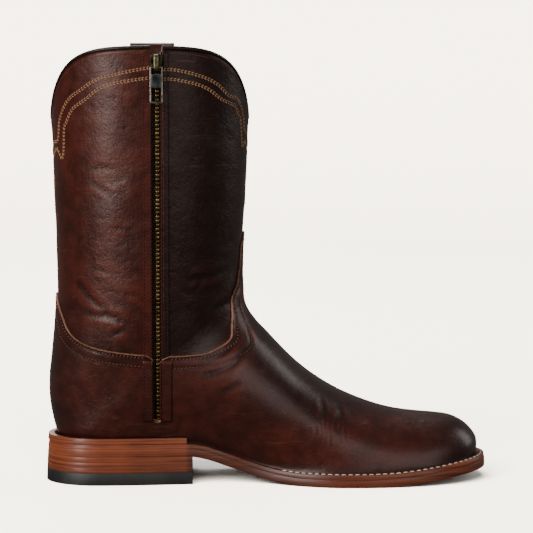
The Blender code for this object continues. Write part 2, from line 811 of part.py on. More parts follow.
# Tape behind the slot and the chain of teeth in it
behind = -SHAFT_WALL - 2.4 * GAP
tape_rows = [(z, behind, behind - TAPE_THICKNESS) for z in np.linspace(ZIP_BOTTOM - TAPE_WIDTH / 4, BOOT_HEIGHT - 10 * GAP, 16)]
places = [ZIP_LINE + TAPE_WIDTH / 2 * share for share in (-1.0, -0.5, 0.0, 0.5, 1.0)]
strip("zip_tape", tape_cloth, places, tape_rows, -1)
chain_base = behind + 2 * GAP
chain_rows = []
z = ZIP_BOTTOM + 3 * GAP
while z < BOOT_HEIGHT - 14 * GAP:
    top = chain_base + CHAIN_THICKNESS
    chain_rows += [(z, top, chain_base), (z + TOOTH_PITCH / 2, top + GAP, chain_base)]
    z += TOOTH_PITCH
places = [ZIP_LINE - CHAIN_WIDTH / 2, ZIP_LINE + CHAIN_WIDTH / 2]
strip("zip_teeth", old_brass, places, chain_rows, -1)

# Slider near the collar: a plate over the facing, a neck down to the chain and a bridge on top
slider_centre = BOOT_HEIGHT - SLIDER_DROP
face = abs(on_side(ZIP_LINE, slider_centre, -1)[0].y)


def from_face(x, out, z):
    return (ZIP_LINE + x, -face - out, slider_centre + z)


def plate(name, corners, width):
    """A block with a profile of (height, distance from the face), as wide as width."""
    bm = bmesh.new()
    loops = [[bm.verts.new(from_face(x, out, z)) for z, out in corners] for x in (-width / 2, width / 2)]
    bm.faces.new(loops[0])
    bm.faces.new(loops[1][::-1])
    for i in range(len(corners)):
        j = (i + 1) % len(corners)
        bm.faces.new((loops[0][i], loops[1][i], loops[1][j], loops[0][j]))
    return finish(name, bm, old_brass)


reach = SLIDER_LENGTH / 2
slider = plate(
    "zip_slider",
    ((-reach, 0.0014), (reach, 0.0014), (reach, 0.0024), (reach - 0.0006, 0.0029), (0.0006 - reach, 0.0029), (-reach, 0.0024)),
    SLIDER_WIDTH,
)
neck = reach - 0.001
combine(slider, plate("neck", ((-neck, -0.0002), (neck, -0.0002), (neck, 0.002), (-neck, 0.002)), 0.0048), "UNION")
bridge = (
    (-0.0056, 0.0022),
    (-0.0056, 0.0049),
    (-0.0046, 0.0057),
    (0.0046, 0.0057),
    (0.0056, 0.0049),
    (0.0056, 0.0022),
    (0.0040, 0.0022),
    (0.0040, 0.0049),
    (-0.0040, 0.0049),
    (-0.0040, 0.0022),
)
combine(slider, plate("bridge", bridge, BRIDGE_WIDTH), "UNION")

# Pull: a frame that hangs from the bridge by its top bar, with a thin plate in its upper window
bar = -0.0031
top, low = bar + PULL_THICKNESS / 2, bar + PULL_THICKNESS / 2 - PULL_LENGTH
near, far = PULL_HEIGHT - PULL_THICKNESS / 2, PULL_HEIGHT + PULL_THICKNESS / 2
side, rail = PULL_WIDTH / 2, PULL_WIDTH / 2 - 0.0012
pull = box("zip_pull", from_face(-side, far, low), from_face(side, near, top))
for high_end, low_end in ((top - 0.0012, bar - 0.0048), (bar - 0.0120, low + 0.0017)):
    tool = box("window", from_face(-rail, 0.02, low_end), from_face(rail, -0.02, high_end))
    combine(pull, tool, "DIFFERENCE")
tool = box("recess", from_face(-rail + 0.0004, 0.02, bar - 0.0116), from_face(rail - 0.0004, far - 0.0004, bar - 0.0052))
combine(pull, tool, "DIFFERENCE")

# Bead along the collar, from one side of the zip round to the other
rim = LAST_LEG + 1.0
leg_back, leg_front = leg_end(BACK_LINE, BOOT_HEIGHT), leg_end(FRONT_LINE, BOOT_HEIGHT)


def rim_angle(x):
    return float(np.degrees(np.arccos(1 - 2 * (x - leg_back) / (leg_front - leg_back))))


ends = [rim_angle(x + d) for x, d in zip(slot, (-GAP, GAP))]
path = [(ends[1], -1)] + [(a, -1) for a in COLUMNS if a > ends[1] + 2] + [(a, 1) for a in COLUMNS[-2::-1]]
path += [(a, -1) for a in COLUMNS if 0 < a < ends[0] - 2] + [(ends[0], -1)]
points = [Vector(upper_point(np.array(rim), np.array(float(a)), s)) for a, s in path]
bm = bmesh.new()
rings = []
for i, point in enumerate(points):
    before, after = points[max(i - 1, 0)], points[min(i + 1, len(points) - 1)]
    run = (after - before).normalized()
    out = Vector((run.y, -run.x, 0.0)).normalized()
    if out.dot(point - axis) < 0:
        out = -out
    rise = (Vector((0, 0, 1)) - run * run.z).normalized()
    centre = point - out * SHAFT_WALL / 2 + rise * (BEAD_RADIUS + 1.5 * GAP)
    turns = [np.pi * (2 * k + 1) / 8 for k in range(8)]
    rings.append([bm.verts.new(centre + (out * np.cos(t) + rise * np.sin(t)) * BEAD_RADIUS) for t in turns])
for one, two in zip(rings, rings[1:]):
    for k in range(8):
        bm.faces.new((one[k], one[(k + 1) % 8], two[(k + 1) % 8], two[k]))
bm.faces.new(rings[0])
bm.faces.new(rings[-1][::-1])
finish("collar_bead", bm, bead_leather, 50.0)

# Pull strap on the outer side, over the collar and down inside
places = [STRAP_CENTRE + STRAP_WIDTH / 2 * share for share in (-1.0, -0.5, 0.0, 0.5, 1.0)]
bm = bmesh.new()
grids = [[], []]
stand = STRAP_STANDOFF + SHAFT_WALL / 2
strap_path = [(down * STRAP_LENGTH, out * stand - SHAFT_WALL / 2) for down, out in STRAP_PATH]
for i, (down, out_by) in enumerate(strap_path):
    before, after = strap_path[max(i - 1, 0)], strap_path[min(i + 1, len(strap_path) - 1)]
    run = Vector((after[0] - before[0], after[1] - before[1])).normalized()
    for grid, turn in zip(grids, (1, -1)):
        shift = Vector((run.y, -run.x)) * turn * STRAP_THICKNESS / 2
        row = []
        for x in places:
            z = BOOT_HEIGHT + STRAP_RISE - down
            place, out = on_side(x, min(z, BOOT_HEIGHT - STRAP_RISE), 1)
            place.z = z - shift.x
            row.append(bm.verts.new(place + Vector((0, 1, 0)) * (out_by + shift.y)))
        grid.append(row)
count = len(STRAP_PATH)
for grid in grids:
    for low_row, high_row in zip(grid, grid[1:]):
        for j in range(4):
            bm.faces.new((low_row[j], low_row[j + 1], high_row[j + 1], high_row[j]))
for i in range(count - 1):
    for j in (0, -1):
        bm.faces.new((grids[0][i][j], grids[0][i + 1][j], grids[1][i + 1][j], grids[1][i][j]))
for i in (0, -1):
    for j in range(4):
        bm.faces.new((grids[0][i][j], grids[0][i][j + 1], grids[1][i][j + 1], grids[1][i][j]))
finish("pull_strap", bm, strap_leather, 50.0)
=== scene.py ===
"""Left roper boot with a zip on its inner side: leather, stitching, sole and zip round the packed model.

The pieces are worked out in metres from the heel's back and moved to the model's frame at the end.
"""

import itertools
import math
from collections import namedtuple

import bmesh
import bpy
import numpy as np
from bpy.props import FloatProperty, FloatVectorProperty, PointerProperty
from mathutils import Matrix, Vector
from mathutils.bvhtree import BVHTree


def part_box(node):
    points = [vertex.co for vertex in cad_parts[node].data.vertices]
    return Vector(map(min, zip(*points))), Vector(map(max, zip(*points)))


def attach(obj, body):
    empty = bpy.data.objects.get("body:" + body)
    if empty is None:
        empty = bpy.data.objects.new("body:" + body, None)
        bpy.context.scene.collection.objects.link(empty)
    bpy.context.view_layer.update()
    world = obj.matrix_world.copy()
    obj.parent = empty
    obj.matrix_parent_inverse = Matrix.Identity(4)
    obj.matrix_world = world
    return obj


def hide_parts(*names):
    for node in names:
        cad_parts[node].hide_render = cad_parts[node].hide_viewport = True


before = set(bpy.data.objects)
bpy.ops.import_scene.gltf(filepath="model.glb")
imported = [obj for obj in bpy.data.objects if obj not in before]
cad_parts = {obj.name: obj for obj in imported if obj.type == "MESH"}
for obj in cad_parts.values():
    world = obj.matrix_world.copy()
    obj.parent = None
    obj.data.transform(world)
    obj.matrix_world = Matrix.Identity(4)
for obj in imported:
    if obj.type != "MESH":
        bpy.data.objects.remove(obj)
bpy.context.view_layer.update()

bl_info = {
    "name": "Roper Boot",
    "version": (1, 0, 0),
    "blender": (4, 5, 0),
    "location": "3D View > Sidebar > Boot",
    "description": "Makes the leather, stitching, sole and zip of a left roper boot",
    "category": "Object",
}

# Sizes of the sole, as in the packed model
LENGTH = 0.305
BALL_WIDTH = 0.112
WAIST_WIDTH = 0.067
HEEL_WIDTH = 0.070
HEEL_LENGTH = 0.1005
OUTSOLE_THICKNESS = 0.0052
WELT_THICKNESS = 0.0032
RAND_THICKNESS = 0.0036
LIFT_THICKNESS = 0.0034
LIFT_COUNT = 3
TOP_PIECE_THICKNESS = 0.0080
TOE_SPRING = 0.0093
WELT_INNER_MARGIN = 0.013

# Sizes of the upper
BOOT_HEIGHT = 0.2976
INSTEP_HEIGHT = 0.1375
COLLAR_WIDTH = 0.113
COLLAR_DIP = 0.0485
SHAFT_WALL = 0.0021
VAMP_STEP = 0.0014
SEAM_HEIGHT = 0.1087

# How far vamp and counter stand in from the sole's edge, where they meet the welt
BACK_MARGIN = 0.0074
HEEL_MARGIN = 0.0036
WAIST_MARGIN = 0.0024
BALL_MARGIN = 0.0052
TOE_MARGIN = 0.0062

# Collar, pull strap and zip
BEAD_RADIUS = 0.0012
STRAP_WIDTH = 0.032
STRAP_THICKNESS = 0.0018
STRAP_CENTRE = 0.0735
STRAP_LENGTH = 0.0760
STRAP_RISE = 0.0054
STRAP_STANDOFF = 0.0036
# Share of the rise that the photo shows, and how far the stitches lie in from the strap's edge
STRAP_SHOWN = 0.65
STRAP_ROW = 0.0024
ZIP_LINE = 0.0765
ZIP_BOTTOM = 0.0440
SLOT_WIDTH = 0.0076
FOOT_SLOT_WIDTH = 0.0060
TAPE_WIDTH = 0.0240
TAPE_THICKNESS = 0.0008
CHAIN_THICKNESS = 0.0014
TOOTH_PITCH = 0.0028
SLIDER_LENGTH = 0.0118
SLIDER_WIDTH = 0.0086
SLIDER_DROP = 0.0091
PULL_LENGTH = 0.0245
PULL_WIDTH = 0.0086
PULL_THICKNESS = 0.0012
PULL_HEIGHT = 0.0039

GAP = 0.0003
EDGE_SLANT = 0.0008
HEEL_TAPER = 0.045
ORIGIN = Vector((LENGTH / 2, 0.0, 0.0))

# Places along the sole, as shares of its length from the heel's back
WAIST_AT = 0.41
BALL_AT = 0.672
HEEL_SIDE_AT = 0.20
HEEL_ROUND = 0.125
TOE_POWER = 2.25
HEEL_POWER = 2.1

# Centre line of the sole: share of the length, offset to the outer side as a share of the ball width
SOLE_CENTRE = ((0.0, 0.0), (0.20, 0.0), (0.43, 0.036), (0.62, 0.030), (0.79, 0.008), (1.0, -0.045))
# Arch: share of the way from the heel's breast to the toe, height as a share of the heel's height
SOLE_ARCH = (
    (-0.490, 1.0), (-0.050, 1.0), (0.0, 0.967), (0.043, 0.875), (0.105, 0.656), (0.174, 0.396),
    (0.242, 0.177), (0.310, 0.047), (0.369, 0.0), (0.594, 0.0),
)
SOLE_SPRING = ((0.728, 0.0), (0.787, 0.086), (0.846, 0.28), (0.905, 0.54), (0.951, 0.753), (1.0, 1.0))

# Rows of the foot, from the toe to the heel's back: where a row starts on the seat line and crosses the
# top line, the height of its top and how full it is
FootRow = namedtuple("FootRow", "base top height side")
FOOT_ROWS = [
    FootRow(*row)
    for row in (
        (0.97508, 0.9770, 0.1811, 0.000), (0.97311, 0.9754, 0.1993, 0.049),
        (0.96656, 0.9702, 0.2211, 0.085), (0.95475, 0.9593, 0.2502, 0.116),
        (0.93770, 0.9423, 0.2793, 0.143), (0.91475, 0.9174, 0.3025, 0.165),
        (0.88197, 0.8830, 0.3127, 0.188), (0.83279, 0.8321, 0.3222, 0.210),
        (0.77705, 0.7738, 0.3418, 0.241), (0.71803, 0.7098, 0.3869, 0.277),
        (0.65574, 0.6443, 0.4553, 0.312), (0.59016, 0.5770, 0.5578, 0.344),
        (0.51803, 0.5321, 0.6531, 0.366), (0.43934, 0.5023, 0.7222, 0.379),
        (0.35410, 0.4787, 0.7804, 0.379), (0.26885, 0.4610, 0.8276, 0.375),
        (0.19016, 0.4502, 0.8698, 0.375), (0.12459, 0.4452, 0.9062, 0.379),
        (0.07541, 0.4436, 0.9367, 0.393), (0.04426, 0.4430, 0.9615, 0.408),
        (0.03246, 0.4426, 0.9818, 0.418), (0.02884, 0.4426, 1.0000, 0.422),
    )
]
# Rows of the leg: heights of a row's two ends and its half width
LegRow = namedtuple("LegRow", "back front side")
LEG_ROWS = [
    LegRow(*row)
    for row in (
        (0.1210, 0.4731, 0.846), (0.1546, 0.4879, 0.855), (0.1983, 0.5084, 0.865), (0.2520, 0.5343, 0.876),
        (0.3125, 0.5645, 0.887), (0.3763, 0.5998, 0.899), (0.4435, 0.6384, 0.912), (0.5141, 0.6821, 0.926),
        (0.5880, 0.7292, 0.938),
    )
]
# Lines of the leg: share of the boot's height, place or half width
BACK_LINE = (
    (0.0948, 0.0289), (0.1075, 0.0252), (0.1277, 0.0197), (0.1478, 0.0151), (0.1747, 0.0098),
    (0.2050, 0.0072), (0.2352, 0.0085), (0.2688, 0.0121), (0.3159, 0.0170), (0.3730, 0.0223),
    (0.4335, 0.0249), (0.5007, 0.0246), (0.6250, 0.0210), (0.6855, 0.0190), (0.7796, 0.0164),
    (0.8401, 0.0131), (0.9241, 0.0089), (1.0081, 0.0052),
)
FRONT_LINE = (
    (0.3360, 0.4426), (0.4402, 0.4426), (0.4872, 0.4430), (0.5444, 0.4439), (0.6048, 0.4472),
    (0.6633, 0.4511), (0.7816, 0.4567), (0.8444, 0.4593), (1.0081, 0.4656),
)
SIDE_LINE = (
    (0.2688, 0.8372), (0.3259, 0.8584), (0.3898, 0.8779), (0.4234, 0.8850), (0.5007, 0.9027),
    (0.5813, 0.9204), (0.6620, 0.9381), (0.7392, 0.9504), (0.8233, 0.9646), (1.0081, 1.0000),
)
PINCH_CENTRE = (0.130, 0.180)
PINCH_REACH = (0.250, 0.200)
PINCH_DEPTH = 0.11
SIDE_WALL = 0.085
HEEL_NARROWING = 0.31

# Upper edge of vamp and counter: angle round the leg from the front, share of the seam height
SEAM = (
    (0.0, 1.322), (3.4, 1.295), (6.8, 1.267), (9.9, 1.242), (10.7, 1.215), (11.2, 1.150), (11.9, 1.080),
    (13.4, 1.010), (22.6, 0.909), (24.2, 0.808), (27.5, 0.743), (31.5, 0.665), (40.0, 0.610),
    (50.0, 0.575), (67.0, 0.568), (98.0, 0.580), (112.0, 0.590), (129.0, 0.608), (142.0, 0.638),
    (148.5, 0.665), (156.0, 0.720), (162.6, 0.805), (170.0, 0.872), (180.0, 0.935),
)
LEG_AXIS = 0.236
COLLAR_SPREAD = 25.0
COLLAR_POINT = 3.5
STRAP_PATH = (
    (1.000, 0.51), (0.816, 0.55), (0.553, 0.74), (0.290, 1.00), (0.105, 1.00), (0.033, 0.76),
    (0.005, 0.36), (0.000, 0.01), (0.005, -0.34), (0.033, -0.74), (0.105, -0.98), (0.290, -0.90),
    (0.526, -0.68), (0.737, -0.60),
)

# The zip's angle round the leg, and the notch of the seam there: how deep it is, and how wide in degrees
ZIP_ANGLE = 84.5
NOTCH_DEPTH = 0.0042
NOTCH_WIDTH = 9.0
# Width of the pale cut edge that shows on vamp and counter, and where the two stitch rows lie below it
RAW_EDGE = 0.0007
STITCH_ROWS = (0.0024, 0.0084)
# Place of the outer side's seam, and the upper end of the short seam below the zip
SIDE_SEAM = 0.0735
JOIN_AT = (0.0815, 0.043)
# Thickness of the leathers, how far the shaft goes on below the seam, and how far stitches stand off
LEATHER_THICKNESS = 0.0012
LINING_THICKNESS = 0.0008
SHAFT_TUCK = 0.007
STITCH_LIFT = 0.0001
# Distance round one side of the last, the mesh squares laid on it, and how near two points are welded
HALF_GIRTH = 0.17
FINE_STEP = 0.0016
WELD = 0.00001
# Radius at which the leg is unrolled to measure from the seam
ANKLE_RADIUS = 0.055

# Height up to which the leather is stretched smooth over the heel stiffener
SOFT_HEEL = 0.088

# Creases of the leather, in millimetres from the heel's back. side: -1 inner, 1 outer, 0 both.
# path: points in the side view. width and depth of the trough.
Crease = namedtuple("Crease", "side path width depth")
CREASES = [
    Crease(*row)
    for row in (
        (-1, ((30, 218.5), (40, 218.0), (50, 217.2)), 1.6, 0.30),
        (-1, ((30, 209.5), (39, 204.0), (50, 197.0)), 1.8, 0.36),
        (-1, ((42, 207.0), (50, 209.8), (58, 212.2)), 1.4, 0.24),
        (-1, ((47, 178.0), (53, 177.4), (60, 176.2)), 1.4, 0.24),
        (-1, ((32, 151.0), (40, 148.6), (48, 146.0)), 1.6, 0.30),
        (-1, ((22, 142.0), (28, 133.0), (36, 125.0), (46, 119.5)), 2.2, 0.50),
        (-1, ((26, 122.0), (35, 118.0), (46, 117.0), (60, 110.5)), 2.2, 0.55),
        (-1, ((40, 126.0), (44, 118.0), (47, 110.0)), 1.6, 0.30),
        (-1, ((44, 104.5), (50, 106.5), (56, 109.0)), 1.8, 0.36),
        (-1, ((55, 133.4), (60, 133.0), (66, 132.0)), 1.5, 0.26),
        (-1, ((95, 142.0), (108, 143.5), (128, 147.5)), 2.4, 0.45),
        (-1, ((100, 134.0), (105, 138.5), (108, 145.0)), 1.6, 0.25),
        (-1, ((112, 120.0), (122, 123.0), (131, 129.0)), 2.4, 0.45),
        (0, ((127, 126.0), (131, 136.0), (134, 150.0)), 2.2, 0.80),
        (0, ((104, 76.0), (115, 78.0), (127, 83.0), (136, 92.0)), 2.2, 0.36),
        (-1, ((118, 65.0), (126, 68.0), (134, 73.5)), 2.0, 0.30),
        (-1, ((112, 88.0), (122, 92.0), (130, 99.0)), 2.0, 0.30),
        (0, ((140, 112.0), (146, 104.0), (150, 94.0)), 2.6, 0.42),
        (0, ((183.5, 44.0), (185.0, 38.0), (184.6, 31.0)), 0.9, 0.22),
        (0, ((187.0, 46.0), (188.2, 38.0), (187.0, 28.0)), 1.0, 0.32),
        (0, ((190.6, 47.0), (191.0, 39.0), (190.6, 27.0)), 1.0, 0.38),
        (0, ((194.2, 45.0), (193.8, 36.0), (194.4, 26.0)), 1.0, 0.38),
        (0, ((197.2, 44.0), (197.8, 36.0), (197.0, 27.0)), 1.0, 0.34),
        (0, ((200.8, 42.0), (200.4, 35.0), (201.2, 28.0)), 1.0, 0.28),
        (0, ((204.0, 40.0), (204.6, 35.0), (204.0, 30.0)), 0.9, 0.20),
        (0, ((186.0, 59.0), (189.0, 53.0), (189.6, 46.0)), 1.8, 0.22),
        (0, ((198.0, 55.0), (201.0, 50.0), (201.6, 43.0)), 1.8, 0.20),
        (1, ((28, 196.0), (38, 192.0), (50, 191.0)), 1.8, 0.30),
        (1, ((24, 138.0), (34, 129.0), (48, 124.0)), 2.2, 0.50),
        (1, ((30, 120.0), (42, 115.0), (58, 114.0)), 2.2, 0.50),
        (1, ((92, 138.0), (106, 140.0), (124, 146.0)), 2.4, 0.45),
        (1, ((96, 118.0), (112, 119.0), (128, 127.0)), 2.4, 0.45),
        (1, ((94, 176.0), (108, 178.0), (120, 182.0)), 1.8, 0.28),
    )
]

# Decorative rows below the collar. side: points in the side view (x, z), end: points in the front or
# back view (half distance from the middle, z). All in millimetres.
Row = namedtuple("Row", "side end")
FRONT_ROWS = (
    Row(
        ((80.6, 283.7), (95.9, 282.4), (108.0, 278.9), (119.3, 272.6), (126.0, 266.0)),
        (
            (25.6, 262.0), (20.8, 254.5), (18.2, 248.5), (17.4, 243.4), (12.8, 240.2), (7.7, 236.9),
            (0.0, 230.7),
        ),
    ),
    Row(
        ((80.6, 277.4), (94.0, 276.4), (104.0, 274.0), (113.0, 269.8), (120.6, 263.8)),
        (
            (28.2, 257.5), (24.4, 252.0), (21.8, 244.6), (20.9, 238.0), (15.6, 234.4), (10.4, 231.3),
            (5.6, 228.3), (2.5, 224.0), (5.4, 217.9), (9.0, 210.6), (6.6, 204.2), (3.2, 197.4),
            (0.0, 190.2),
        ),
    ),
)
BACK_ROWS = (
    Row(
        ((73.2, 283.7), (58.4, 282.8), (44.3, 279.6), (33.0, 275.4), (23.7, 268.8)),
        (
            (31.6, 262.0), (25.4, 252.5), (22.4, 245.0), (20.8, 238.0), (14.8, 234.6), (8.4, 231.4),
            (0.0, 225.2),
        ),
    ),
    Row(
        ((73.2, 277.3), (58.4, 276.6), (46.5, 274.4), (36.8, 270.4), (28.4, 263.6)),
        (
            (34.6, 256.0), (30.0, 247.6), (27.4, 240.0), (26.6, 232.4), (18.6, 229.4), (11.4, 226.0),
            (5.8, 222.6), (2.5, 218.4), (5.4, 212.3), (9.0, 205.0), (6.6, 198.6), (3.2, 191.8),
            (0.0, 184.6),
        ),
    ),
)
# Small lozenges inside the rows' point: half width and height in millimetres, lowered at the back
LOZENGES = (((0.0, 220.2), (3.6, 211.0), (0.0, 200.4)), ((0.0, 214.2), (1.7, 210.6), (0.0, 206.6)))
BACK_LOWERING = 5.6

Edge = namedtuple("Edge", "back tip heel waist ball")


def smoothstep(t):
    t = np.clip(t, 0.0, 1.0)
    return t * t * (3 - 2 * t)


def bell(t):
    return np.clip(1 - t * t, 0.0, 1.0) ** 2


def monotone(table, x):
    """Smooth curve through the table's points that never overshoots them."""
    px, py = np.array(table, float).T
    step = np.diff(px)
    slope = np.diff(py) / step
    tangent = np.zeros(len(px))
    same = slope[:-1] * slope[1:] > 0
    before, after = slope[:-1][same], slope[1:][same]
    tangent[1:-1][same] = 2 * before * after / (before + after)
    tangent[0], tangent[-1] = slope[0], slope[-1]
    x = np.clip(x, px[0], px[-1])
    i = np.clip(np.searchsorted(px, x, side="right") - 1, 0, len(step) - 1)
    t = (x - px[i]) / step[i]
    s = 1 - t
    ends = py[i] * (1 + 2 * t) * s * s + py[i + 1] * t * t * (3 - 2 * t)
    return ends + step[i] * t * s * (tangent[i] * s - tangent[i + 1] * t)


def natural(places, values, x):
    """Natural cubic curve through the values at the places."""
    places, values = np.array(places, float), np.array(values, float)
    n, h = len(places), np.diff(places)
    matrix = np.zeros((n, n))
    right = np.zeros(n)
    matrix[0, 0] = matrix[-1, -1] = 1.0
    for i in range(1, n - 1):
        matrix[i, i - 1 : i + 2] = (h[i - 1], 2 * (h[i - 1] + h[i]), h[i])
        right[i] = 6 * ((values[i + 1] - values[i]) / h[i] - (values[i] - values[i - 1]) / h[i - 1])
    bend = np.linalg.solve(matrix, right)
    x = np.clip(x, places[0], places[-1])
    i = np.clip(np.searchsorted(places, x, side="right") - 1, 0, n - 2)
    t = (x - places[i]) / h[i]
    s = 1 - t
    line = s * values[i] + t * values[i + 1]
    return line + h[i] ** 2 / 6 * ((s**3 - s) * bend[i] + (t**3 - t) * bend[i + 1])


def along(table, x):
    places, values = zip(*table)
    return natural(places, values, x)


def rounding(distance, radius, power):
    """From 0 at an edge to 1 at radius from it, as a quarter of a superellipse."""
    t = np.clip(distance / radius, 0.0, 1.0)
    return (1 - (1 - t) ** power) ** (1 / power)


# Forms of the sole
SOLE_EDGE = Edge(0.0, LENGTH, HEEL_WIDTH / 2, WAIST_WIDTH / 2, BALL_WIDTH / 2)
HEEL_STACK = TOP_PIECE_THICKNESS + GAP + LIFT_COUNT * (LIFT_THICKNESS + GAP)
WELT_BOTTOM = OUTSOLE_THICKNESS + GAP
WELT_TOP = WELT_BOTTOM + WELT_THICKNESS
SEAT = WELT_TOP + 1.5 * GAP


def inset(edge, by):
    return Edge(edge.back + by, edge.tip - by, edge.heel - by, edge.waist - by, edge.ball - by)


def half_width(x, edge):
    """Half width of an outline at x, measured from the heel's back."""
    body = monotone(
        (
            (0.0, edge.heel),
            (HEEL_SIDE_AT * LENGTH, edge.heel),
            (WAIST_AT * LENGTH, edge.waist),
            (BALL_AT * LENGTH, edge.ball),
            (LENGTH, edge.ball),
        ),
        x,
    )
    toe = rounding(edge.tip - x, edge.tip - BALL_AT * LENGTH, TOE_POWER)
    return body * toe * rounding(x - edge.back, HEEL_ROUND * LENGTH, HEEL_POWER)


def sole_centre(x):
    return along([(share * LENGTH, offset * BALL_WIDTH) for share, offset in SOLE_CENTRE], x)


def sole_bottom(x):
    arch = HEEL_STACK * monotone(SOLE_ARCH, (x - HEEL_LENGTH) / (LENGTH - HEEL_LENGTH))
    return arch + TOE_SPRING * monotone(SOLE_SPRING, x / LENGTH)


# Forms of the upper
FEATHER = Edge(
    BACK_MARGIN + VAMP_STEP,
    LENGTH - TOE_MARGIN - VAMP_STEP,
    HEEL_WIDTH / 2 - HEEL_MARGIN - VAMP_STEP,
    WAIST_WIDTH / 2 - WAIST_MARGIN - VAMP_STEP,
    BALL_WIDTH / 2 - BALL_MARGIN - VAMP_STEP,
)
HEEL_SEAT = float(sole_bottom(FEATHER.back)) + SEAT
CORNER = len(FOOT_ROWS) - 1
LAST_LEG = CORNER + len(LEG_ROWS)
RIM = LAST_LEG + 1.0
AXIS = LEG_AXIS * LENGTH


def leg_end(table, z):
    return LENGTH * along(table, z / BOOT_HEIGHT)


def collar(x, half):
    """Height of the collar at a place on the leg: scalloped down at the front and at the back."""
    angle = np.degrees(np.arctan2(half, np.abs(x - AXIS)))
    spread = ((angle**2 + COLLAR_POINT**2) ** 0.5 / COLLAR_SPREAD) ** 1.5
    return BOOT_HEIGHT - COLLAR_DIP * np.exp((COLLAR_POINT / COLLAR_SPREAD) ** 1.5 - spread)


def upper_point(u, angle, side):
    """A point of the upper's outer face, as the packed model has it.

    u runs from the toe over the heel's corner to the collar, angle from the back or the seat line (0)
    to the front or the top line (180), side is -1 or 1.
    """
    q = (1 - np.cos(np.radians(angle))) / 2
    row = np.minimum(u, LAST_LEG)
    top_x = [r.top * LENGTH for r in FOOT_ROWS]
    top_x += [leg_end(FRONT_LINE, r.front * BOOT_HEIGHT) for r in LEG_ROWS]
    top_z = [r.height * INSTEP_HEIGHT for r in FOOT_ROWS] + [r.front * BOOT_HEIGHT for r in LEG_ROWS]
    sides = [r.side * BALL_WIDTH for r in FOOT_ROWS] + [r.side * COLLAR_WIDTH / 2 for r in LEG_ROWS]
    places = range(LAST_LEG + 1)
    base_x = natural(range(CORNER + 1), [r.base * LENGTH for r in FOOT_ROWS], np.minimum(row, CORNER))
    rises = [HEEL_SEAT] + [r.back * BOOT_HEIGHT for r in LEG_ROWS]
    back_z = natural(range(CORNER, LAST_LEG + 1), rises, np.maximum(row, CORNER))
    on_foot = row <= CORNER
    base_x = np.where(on_foot, np.clip(base_x, FEATHER.back, FEATHER.tip), leg_end(BACK_LINE, back_z))
    base_z = np.where(on_foot, sole_bottom(base_x) + SEAT, back_z)
    feather = np.where(on_foot, half_width(base_x, FEATHER), 0.0)
    end_x, end_z = natural(places, top_x, row), natural(places, top_z, row)
    full = natural(places, sides, row)
    x = base_x + q * (end_x - base_x)
    z = base_z + q * (end_z - base_z)
    share = smoothstep((row - CORNER - 2) / (LAST_LEG - CORNER - 2))
    climb = np.clip(u - LAST_LEG, 0.0, 1.0)
    for _ in range(3):
        back, front = leg_end(BACK_LINE, z), leg_end(FRONT_LINE, z)
        lined = back + q * (front - back)
        around = COLLAR_WIDTH / 2 * along(SIDE_LINE, z / BOOT_HEIGHT)
        width = full + share * (around - full)
        heel_share = np.where(on_foot, feather / FEATHER.heel, (row - CORNER) / (LAST_LEG - CORNER))
        round_heel = 1 - HEEL_NARROWING * (1 - smoothstep(heel_share)) * (1 - q) ** 3
        flat = SIDE_WALL * (feather / FEATHER.heel) ** 4 / (1 + 0.4 * (feather / FEATHER.heel) ** 2)
        fill = round_heel * q * q / np.maximum(q + flat, 1e-9)
        half = ((1 - q) * (feather**2 + 4 * width**2 * fill)) ** 0.5
        level_z = base_z + q * (end_z - base_z)
        z = level_z + climb * (collar(lined, half) - level_z)
    x = x + share * (lined - x)
    pinch = bell((x / LENGTH - PINCH_CENTRE[0]) / PINCH_REACH[0])
    pinch *= bell((z / LENGTH - PINCH_CENTRE[1]) / PINCH_REACH[1])
    pinch *= smoothstep((z - sole_bottom(x) - SEAT) / HEEL_STACK)
    half = half * (1 - PINCH_DEPTH * pinch)
    centre = sole_centre(x) * (1 - smoothstep(2 * z / INSTEP_HEIGHT - 0.73))
    return np.array((x, centre + side * half, z))


def on_upper(u, s):
    """Points of the outer face, as rows of x, y and z. s runs from -1 to 1 across the top line."""
    return upper_point(u, 180 * (1 - np.abs(s)), np.sign(s)).T


def seam_height(angle, side):
    """Height of the upper edge of vamp and counter, with the small notch at the zip."""
    notch = NOTCH_DEPTH * np.clip(1 - np.abs(angle - ZIP_ANGLE) / NOTCH_WIDTH, 0, 1) * (np.asarray(side) < 0)
    return HEEL_SEAT + SEAM_HEIGHT * monotone(SEAM, angle) - notch


def seam_line(side):
    """The seam unrolled: distance round the leg from the front, height."""
    angle = np.linspace(0, 180, 541)
    return np.array((ANKLE_RADIUS * np.radians(angle), seam_height(angle, side))).T


def from_seam(points):
    """How far points lie above the seam, measured square to it in the unrolled leg."""
    angle = np.degrees(np.arctan2(np.abs(points[:, 1]), points[:, 0] - AXIS))
    side = np.where(points[:, 1] < 0, -1, 1)
    above = points[:, 2] - seam_height(angle, side)
    near = np.abs(above) < 0.05
    distance = np.abs(above)
    for one in (-1, 1):
        chosen = np.nonzero(near & (side == one))[0]
        line = seam_line(one)
        start, run = line[:-1], np.diff(line, axis=0)
        for part in np.array_split(chosen, max(1, len(chosen) // 3000)):
            p = np.array((ANKLE_RADIUS * np.radians(angle[part]), points[part, 2])).T[:, None, :]
            t = np.clip(((p - start) * run).sum(2) / (run * run).sum(1), 0, 1)
            distance[part] = np.linalg.norm(p - start - t[:, :, None] * run, axis=2).min(1)
    return distance * np.sign(above)


